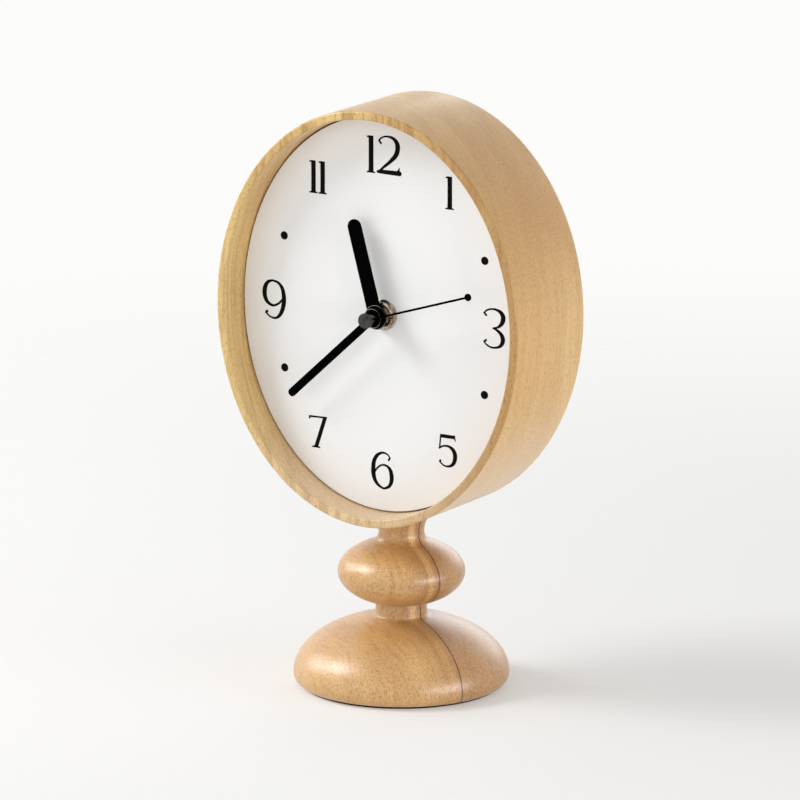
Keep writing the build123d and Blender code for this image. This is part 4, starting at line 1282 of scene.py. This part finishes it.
@dataclass(frozen=True)
class FlatHand:
    """A flat black hand with a round hub and tip, its collar, and a light steel ring on its hub's edge that paints a
    glint.
    """

    name: str
    node: str
    body: str
    reach: float
    width: float
    hub: float
    stand: float
    angle: float
    bore: float
    thickness: float = 0.5
    edge: float = 0.06
    collar: Pair = (1.1, 0.6)
    collar_edge: float = 0.1
    polished: float = 0.2
    glint_heights: Pair = (0.05, -0.02)

    def build(self, shop: Workshop) -> None:
        """Cut the hand from sheet, press its collar on and lay a light steel ring on its hub's edge as a painted glint.
        """
        half = self.width / 2
        opening = math.pi / 2 + math.asin(half / self.hub)
        outline = round_points(self.hub, opening, math.tau + math.pi - opening, 60)
        outline += round_points(half, 0.0, math.pi, 24, self.reach - half)
        hole = round_points(self.bore, 0.0, math.tau, 48)[:-1]
        y = DIAL_FACE_Y - self.stand
        turn = Matrix.Rotation(math.radians(self.angle), 4, "Y")
        blade = shop.sheet(self.name, [outline, hole], self.thickness, self.edge, "hand_black", at_head(y=y) @ turn)
        fit(blade, self.body, "hand_black", self.node)
        wall, tall = self.collar
        wall += self.bore
        e = self.collar_edge
        ring = Profile(self.bore, 0.0).to((wall, 0.0), (wall, tall - e), (wall - e, tall))
        ring.to((self.bore, tall), (self.bore, 0.0))
        place = at_head(y=y + self.thickness / 2) @ BACKWARDS
        shop.turn(f"{self.name}_collar", ring, place, 64, self.body, "hub_brass")
        # Painted glint: a thin light steel ring on the black hub's edge stands in for the highlight that the edge
        # catches.
        low, high = (height - self.thickness / 2 for height in self.glint_heights)
        inner, outer = self.hub - self.polished, self.hub - self.edge
        glint_hoop = Profile(inner, low).to((outer, low), (outer, high), (inner, high), (inner, low))
        shop.turn(f"{self.name}_rim", glint_hoop, at_head(y=y) @ BACKWARDS, 96, self.body, "arbor_steel")


@dataclass(frozen=True)
class SecondHand:
    """A thin rod with a disc near its tip, on a tube under a round cap."""

    body: str = "second_group"
    reach: float = 49.0
    radius: float = 0.45
    tip_round: float = 0.2
    disc: Pair = (1.5, 0.5)
    disc_edge: float = 0.08
    stand: float = 12.2
    angle: float = 72.6
    tube: Pair = (1.2, 0.5)
    tube_ends: Pair = (-26.6, -23.15)
    cap: Pair = (3.15, 1.5)
    cap_edge: float = 0.3
    cap_bevel: float = 0.08
    cap_dish: Triple = (0.55, 0.5, 0.03)

    def build(self, shop: Workshop) -> None:
        """Turn the rod, the disc, the tube and the cap."""
        aim = at_head(y=DIAL_FACE_Y - self.stand) @ Matrix.Rotation(math.radians(self.angle), 4, "Y")
        r, reach, e = self.radius, self.reach, self.tip_round
        rod = Profile(0.0, 1.0).to((r, 1.0), (r, reach - e)).arc((r - e, reach - e), (e, e), 0, 90, 3)
        shop.turn("second_rod", rod.to((0.0, reach)), aim, 24, self.body, "hand_black", "second_hand")
        wide, thick = self.disc
        half, e = thick / 2, self.disc_edge
        plate = Profile(0.0, -half).to((wide - e, -half), (wide, e - half), (wide, half - e), (wide - e, half))
        place = aim @ Matrix.Translation(Vector((0, 0, reach * MM))) @ FORWARDS
        shop.turn("second_disc", plate.to((0.0, half)), place, 48, self.body, "hand_black")
        outer, bore = self.tube
        front, back = self.tube_ends
        wall = Profile(bore, front).to((outer, front), (outer, back - 0.1), (outer - 0.1, back), (bore, back))
        dial = at_head() @ BACKWARDS
        shop.turn("second_tube", wall.to((bore, front)), dial, 48, self.body, "hub_brass")
        wide, thick = self.cap
        face, e = front - thick, self.cap_edge
        bevel, (rim, dish, deep) = self.cap_bevel, self.cap_dish
        cap = Profile(0.0, front).to((wide - bevel, front), (wide, front - bevel))
        cap.arc((wide - e, face + e), (e, e), 0, -90, 6)
        cap.to((wide * rim, face), (wide * dish, face + deep), (0.0, face + deep))
        shop.turn("cap", cap, dial, 96, self.body, "cap_grey", "second_hand_cap")


@dataclass(frozen=True)
class Hub:
    """The washer and the slotted round nut that clamp the movement to the dial."""

    bore: float = 3.95
    washer: Pair = (6.3, 0.7)
    washer_round: float = 0.12
    nut: Pair = (5.6, 2.2)
    nut_edge: float = 0.4
    slot: Pair = (1.2, 0.9)
    nut_steps: int = 180

    def build(self, shop: Workshop) -> None:
        """Turn the washer and cut the nut."""
        wide, thick = self.washer
        rear, front, e = DIAL_FACE_Y, DIAL_FACE_Y - thick, self.washer_round
        ring = Profile(self.bore, rear).to((wide, rear), (wide, front + e))
        ring.arc((wide - e, front + e), (e, e), 0, -90, 3).to((self.bore, front), (self.bore, rear))
        shop.turn("face_washer", ring, at_head() @ BACKWARDS, 96, "stand", "hub_brass", "dial_washer")
        mesh = self.cut_nut(shop.finishes["hub_brass"], front)
        fit(settle("round_nut", mesh, at_head(), 30.0), "stand", "hub_brass", "hand_nut")

    def cut_nut(self, metal: bpy.types.Material, rear: float) -> bpy.types.Mesh:
        """Build the nut sector by sector, lower where its slot runs.

        Args:
            metal: The material.
            rear: The place of its rear face along Y.

        Returns:
            The nut's mesh.
        """
        wide, thick = self.nut
        half, depth = self.slot[0] / 2, self.slot[1]
        front, e = rear - thick, self.nut_edge
        outline = ((self.bore, rear), (wide, rear), (wide, front + e), (wide - e, front), (self.bore, front))
        work = bmesh.new()
        rings = []
        for step in range(self.nut_steps):
            angle = math.tau * step / self.nut_steps
            ring = []
            for radius, y in outline:
                x, z = radius * math.cos(angle), radius * math.sin(angle)
                floor = front + depth if abs(z) < half else y
                ring.append(work.verts.new((x * MM, max(y, floor) * MM, z * MM)))
            rings.append(ring)
        for one, two in zip(rings, rings[1:] + rings[:1]):
            for i, j in zip(range(5), (1, 2, 3, 4, 0)):
                work.faces.new((one[i], two[i], two[j], one[j]))
        return solid_mesh("round_nut", work, metal)


@dataclass(frozen=True)
class Movement:
    """What shows of the movement from behind: knob, cell, screws and marks."""

    rear_y: float = 10.7
    screw_middle: float = 0.498
    screw_spans: Pair = (48.0, 31.9965)
    screw_head: Pair = (1.3, 0.6)
    screw_round: float = 0.35
    screw_dimple: Pair = (0.3, 0.3)
    knob_place: Pair = (-9.651, -1.702)
    knob: Pair = (5.0, 4.0)
    knob_gap: float = 0.6
    knob_hole: float = 0.55
    knob_edges: Triple = (0.3, 0.4, 0.35)
    grooves: int = 24
    groove_depth: float = 0.4
    cell_radius: float = 7.25
    cell_ends: Triple = (-24.25, 24.95, 26.25)
    cell_place: Pair = (3.15, -27.15)
    cell_round: float = 0.5
    cell_dent: float = 0.15
    nub: Pair = (2.75, 0.4)
    ring: Triple = (7.2, 6.3, 0.5)
    ring_round: float = 0.15
    arrow: Pair = (8.6, 9.1)
    arrow_starts: float = 35.0
    arrow_steps: int = 20
    arrow_step: float = 5.5
    arrow_head: Pair = (13.0, 0.7)
    sign: Pair = (1.3, 0.22)
    sign_place: Pair = (19.0, -15.4)
    mark_sheet: Pair = (0.2, 0.02)
    mark_lift: float = 0.03

    def build(self, shop: Workshop) -> None:
        """Build the pieces that show in the rear opening."""
        self.build_cell(shop)
        self.build_knob(shop)
        self.build_screws(shop)
        self.build_marks(shop)

    def build_cell(self, shop: Workshop) -> None:
        """Turn the dry cell, with its rolled edges and its nub."""
        start, shoulder, tip = self.cell_ends
        r, e = self.cell_radius, self.cell_round
        nub, nub_round = self.nub
        dent = self.cell_dent
        outline = Profile(0.0, start + dent).to((r * 0.62, start + dent), (r * 0.66, start))
        outline.arc((r - e, start + e), (e, e), -90, 0, 6).arc((r - e, shoulder - e), (e, e), 0, 90, 6)
        outline.to((r * 0.8, shoulder), (r * 0.78, shoulder - dent), (nub + 0.2, shoulder - dent), (nub, shoulder))
        outline.arc((nub - nub_round, tip - nub_round), (nub_round, nub_round), 0, 90, 5).to((0.0, tip))
        y, z = self.cell_place
        place = at_head(y=y, z=z) @ SIDEWAYS
        shop.turn("dry_cell", outline, place, 96, "battery", "battery_jacket", "battery_cell")

    def build_knob(self, shop: Workshop) -> None:
        """Turn the setting knob with its grooves."""
        wide, thick = self.knob
        hole, (bevel, lip, dish) = self.knob_hole, self.knob_edges
        front = self.rear_y + self.knob_gap
        middle, back = front + thick / 2 + 0.05, front + thick
        outline = Profile(hole, front).to((wide - bevel, front), (wide, front + bevel, 1.0), (wide, back - lip, 1.0))
        outline.arc((wide - lip, back - lip), (lip, lip), 0, 90, 4, 0.5)
        outline.to((wide - 1.3, back), (wide - 1.6, back - dish), (0.0, back - dish))
        outline.to((0.0, middle), (hole, middle), (hole, front))
        x, z = self.knob_place
        ridges = {"ridges": self.grooves, "ridge_depth": self.groove_depth}
        knob = shop.turned("setting_knob", outline, "case_plastic", at_head(x, 0.0, z) @ BACKWARDS, 240, **ridges)
        fit(knob, "motion_group", "case_plastic", "set_knob")

    def build_screws(self, shop: Workshop) -> None:
        """Turn one pan-head screw and set out four."""
        (r, high), e = self.screw_head, self.screw_round
        head = Profile(0.0, 0.0).to((r, 0.0)).arc((r - e, high - e), (e, e), 0, 90, 4)
        hole, deep = self.screw_dimple
        head.to((hole + 0.05, high), (hole, high - deep), (0.0, high - deep))
        place = at_head(0.0, self.rear_y, self.screw_middle)
        heads = shop.four("screw_heads", head, "zinc_steel", 32, self.screw_spans, place)
        fit(heads, "stand", "zinc_steel", "movement_screws")

    def build_marks(self, shop: Workshop) -> None:
        """Raise a ring and a turning arrow round the knob, and the cell's two signs over its bay."""
        x, z = self.knob_place
        wide, narrow, high = self.ring
        e, foot, top = self.ring_round, self.rear_y - 0.1, self.rear_y + high
        ring = Profile(narrow, foot).to((wide, foot), (wide, top - e)).arc((wide - e, top - e), (e, e), 0, 90, 3)
        ring.to((narrow + e, top)).arc((narrow + e, top - e), (e, e), 90, 180, 3).to((narrow, foot))
        shop.turn("knob_ring", ring, at_head(x, 0.0, z) @ BACKWARDS, 96, "stand", "case_plastic")
        inner, outer = self.arrow
        start = math.radians(self.arrow_starts)
        end = math.radians(self.arrow_starts + self.arrow_steps * self.arrow_step)
        arc = round_points(outer, start, end, self.arrow_steps) + round_points(inner, end, start, self.arrow_steps)
        length, barb = self.arrow_head
        tip, middle = math.radians(self.arrow_starts - length), (inner + outer) / 2
        head = [(middle * math.cos(tip), middle * math.sin(tip))]
        head += [(radius * math.cos(start), radius * math.sin(start)) for radius in (inner - barb, outer + barb)]
        width, bar = self.sign
        plus = [(bar, bar), (bar, width), (-bar, width), (-bar, bar), (-width, bar), (-width, -bar)]
        plus += [(-x_side, -z_side) for x_side, z_side in plus]
        minus = [(width, bar), (-width, bar), (-width, -bar), (width, -bar)]
        sign_x, sign_z = self.sign_place
        thickness, bevel = self.mark_sheet
        for name, loop, across, up in (
            ("arrow_arc", arc, x, z),
            ("arrow_head", head, x, z),
            ("plus_sign", plus, sign_x, sign_z),
            ("minus_sign", minus, -sign_x, sign_z),
        ):
            place = at_head(across, self.rear_y + self.mark_lift, up)
            mark = shop.sheet(name, [loop], thickness, bevel, "bridge_plastic", place)
            fit(mark, "stand", "bridge_plastic")


# The studio


def direction(azimuth: float, elevation: float) -> Vector:
    """Give the direction from the clock towards a place, with 0 straight in front of the dial."""
    a, e = math.radians(azimuth), math.radians(elevation)
    return Vector((math.sin(a) * math.cos(e), -math.cos(a) * math.cos(e), math.sin(e)))


@dataclass(frozen=True)
class Lamp:
    """One soft lamp, turned to the clock, in millimetres, degrees from the dial's front, and watts."""

    name: str
    azimuth: float
    elevation: float
    distance: float
    size: Pair
    power: float
    aimed_at: float = 110.0

    def hang(self) -> None:
        """Hang the lamp."""
        data = bpy.data.lights.new(self.name, "AREA")
        data.shape = "RECTANGLE"
        data.size, data.size_y = self.size[0] * MM, self.size[1] * MM
        data.energy = self.power
        lamp = bpy.data.objects.new(self.name, data)
        aim = direction(self.azimuth, self.elevation)
        place = Vector((0, 0, self.aimed_at)) + aim * self.distance
        lamp.matrix_world = Matrix.Translation(place * MM) @ aim.to_track_quat("Z", "Y").to_matrix().to_4x4()
        bpy.context.scene.collection.objects.link(lamp)


@dataclass(frozen=True)
class Studio:
    """The pale floor, the soft lamps and the camera."""

    azimuth: float = 31.7
    elevation: float = 13.09
    distance: float = 2823.75
    target: Triple = (0.0, -1.09, 120.6)
    shift: Pair = (0.01, -2.11)
    lens: float = 315.0
    lamps: tuple[Lamp, ...] = (
        Lamp("window", -58.0, 38.0, 1600.0, (620.0, 520.0), 13.5),
        Lamp("front_fill", -18.0, 12.0, 1700.0, (1500.0, 900.0), 2.6),
        Lamp("side_window", -84.0, 21.0, 1600.0, (600.0, 500.0), 5.0),
        Lamp("side_fill", 84.0, 4.0, 1600.0, (1300.0, 420.0), 12.0),
        Lamp("top_light", -115.0, 58.0, 1600.0, (900.0, 600.0), 1.5),
        Lamp("back_fill", -172.0, 14.0, 1800.0, (1300.0, 700.0), 4.5),
    )
    sky_low: float = 0.8
    sky_high: float = 0.3
    sky_turns: Pair = (0.0, 0.55)
    sky_seen: float = 0.975
    sky_colour: Triple = (1.0, 0.995, 0.985)
    floor_half: float = 6000.0
    floor_seen: float = 0.97
    floor_veil: float = 0.3
    floor_fades: Pair = (260.0, 900.0)

    def build(self) -> None:
        """Set up camera, floor, world and lamps."""
        self.build_camera()
        self.build_floor()
        self.build_world()
        for lamp in self.lamps:
            lamp.hang()

    def build_camera(self) -> None:
        """Place the camera at the photograph's viewing angle."""
        back = direction(self.azimuth, self.elevation)
        turned = math.radians(self.azimuth)
        right = Vector((math.cos(turned), math.sin(turned), 0.0))
        up = back.cross(right)
        data = bpy.data.cameras.new("camera")
        data.lens = self.lens
        data.sensor_width = 36.0
        data.clip_end = 50.0
        camera = bpy.data.objects.new("camera", data)
        place = Vector(self.target) + back * self.distance + right * self.shift[0] + up * self.shift[1]
        axes = Matrix((right, up, back)).transposed().to_4x4()
        camera.matrix_world = Matrix.Translation(place * MM) @ axes
        bpy.context.scene.collection.objects.link(camera)
        bpy.context.scene.camera = camera

    def build_floor(self) -> None:
        """Lay the pale floor, which keeps the clock's shadow and fades out far from it."""
        half = self.floor_half * MM
        mesh = bpy.data.meshes.new("floor")
        mesh.from_pydata([(-half, -half, 0), (half, -half, 0), (half, half, 0), (-half, half, 0)], [], [(0, 1, 2, 3)])
        floor = bpy.data.objects.new("floor", mesh)
        bpy.context.scene.collection.objects.link(floor)
        surface = Surface("floor_paper", Specular_IOR_Level=0.1)
        grain = surface.noise(surface.point * 0.8, 2.0)
        seen = surface.add("ShaderNodeLightPath", output="Is Camera Ray")
        plain = surface.mix(srgb(232, 231, 229), srgb(236, 235, 233), grain)
        surface.paint(Base_Color=surface.mix(plain, (self.floor_seen,) * 3, seen), Roughness=0.9)
        reach = surface.point.length().ease(*self.floor_fades) * (1.0 - self.floor_veil) + self.floor_veil
        clear = surface.add("ShaderNodeBsdfTransparent")
        paper = Signal(surface, surface.shader.outputs[0])
        both = surface.add("ShaderNodeMixShader", {}, {0: reach, 1: paper, 2: clear})
        surface.add("ShaderNodeOutputMaterial", {"is_active_output": True}, {"Surface": both})
        mesh.materials.append(surface.material)

    def build_world(self) -> None:
        """Light the clock evenly, and show white behind it."""
        world = bpy.data.worlds.new("studio")
        world.use_nodes = True
        bpy.context.scene.world = world
        wiring = Wiring(world.node_tree)
        world.node_tree.nodes.clear()
        path = wiring.add("ShaderNodeLightPath").socket.node
        camera, glossy, clear = (
            Signal(wiring, path.outputs[f"Is {kind} Ray"]) for kind in ("Camera", "Glossy", "Transmission")
        )
        seen = camera + glossy + clear
        seen = seen.combine("MINIMUM", seen, 1.0)
        aim = wiring.add("ShaderNodeTexCoord", output="Generated")
        ambient = aim.parts()[2].ease(*self.sky_turns) * (self.sky_high - self.sky_low) + self.sky_low
        strength = seen * (self.sky_seen - ambient) + ambient
        light = wiring.add("ShaderNodeBackground", {}, {"Color": self.sky_colour, "Strength": strength})
        wiring.add("ShaderNodeOutputWorld", {}, {"Surface": light})


def main() -> None:
    """Build the clock's looks in order."""
    logging.basicConfig(level=logging.INFO, format="%(name)s: %(message)s")
    bpy.context.scene.view_settings.view_transform = "Standard"
    shop = Workshop()
    shop.dress_frame()
    head = Head()
    head.build(shop)
    Pedestal().build(shop, head)
    DialPrint().build(shop)
    Hub().build(shop)
    FlatHand(
        "hour_blade", "hour_hand", "hour_group", reach=40.4, width=6.4, hub=5.0, stand=6.0, angle=344.5, bore=2.65
    ).build(shop)
    FlatHand(
        "minute_blade", "minute_hand", "minute_group", reach=53.5, width=3.4, hub=4.0, stand=8.4, angle=227.7, bore=1.75
    ).build(shop)
    SecondHand().build(shop)
    Movement().build(shop)
    Studio().build()


if __name__ == "__main__":
    main()
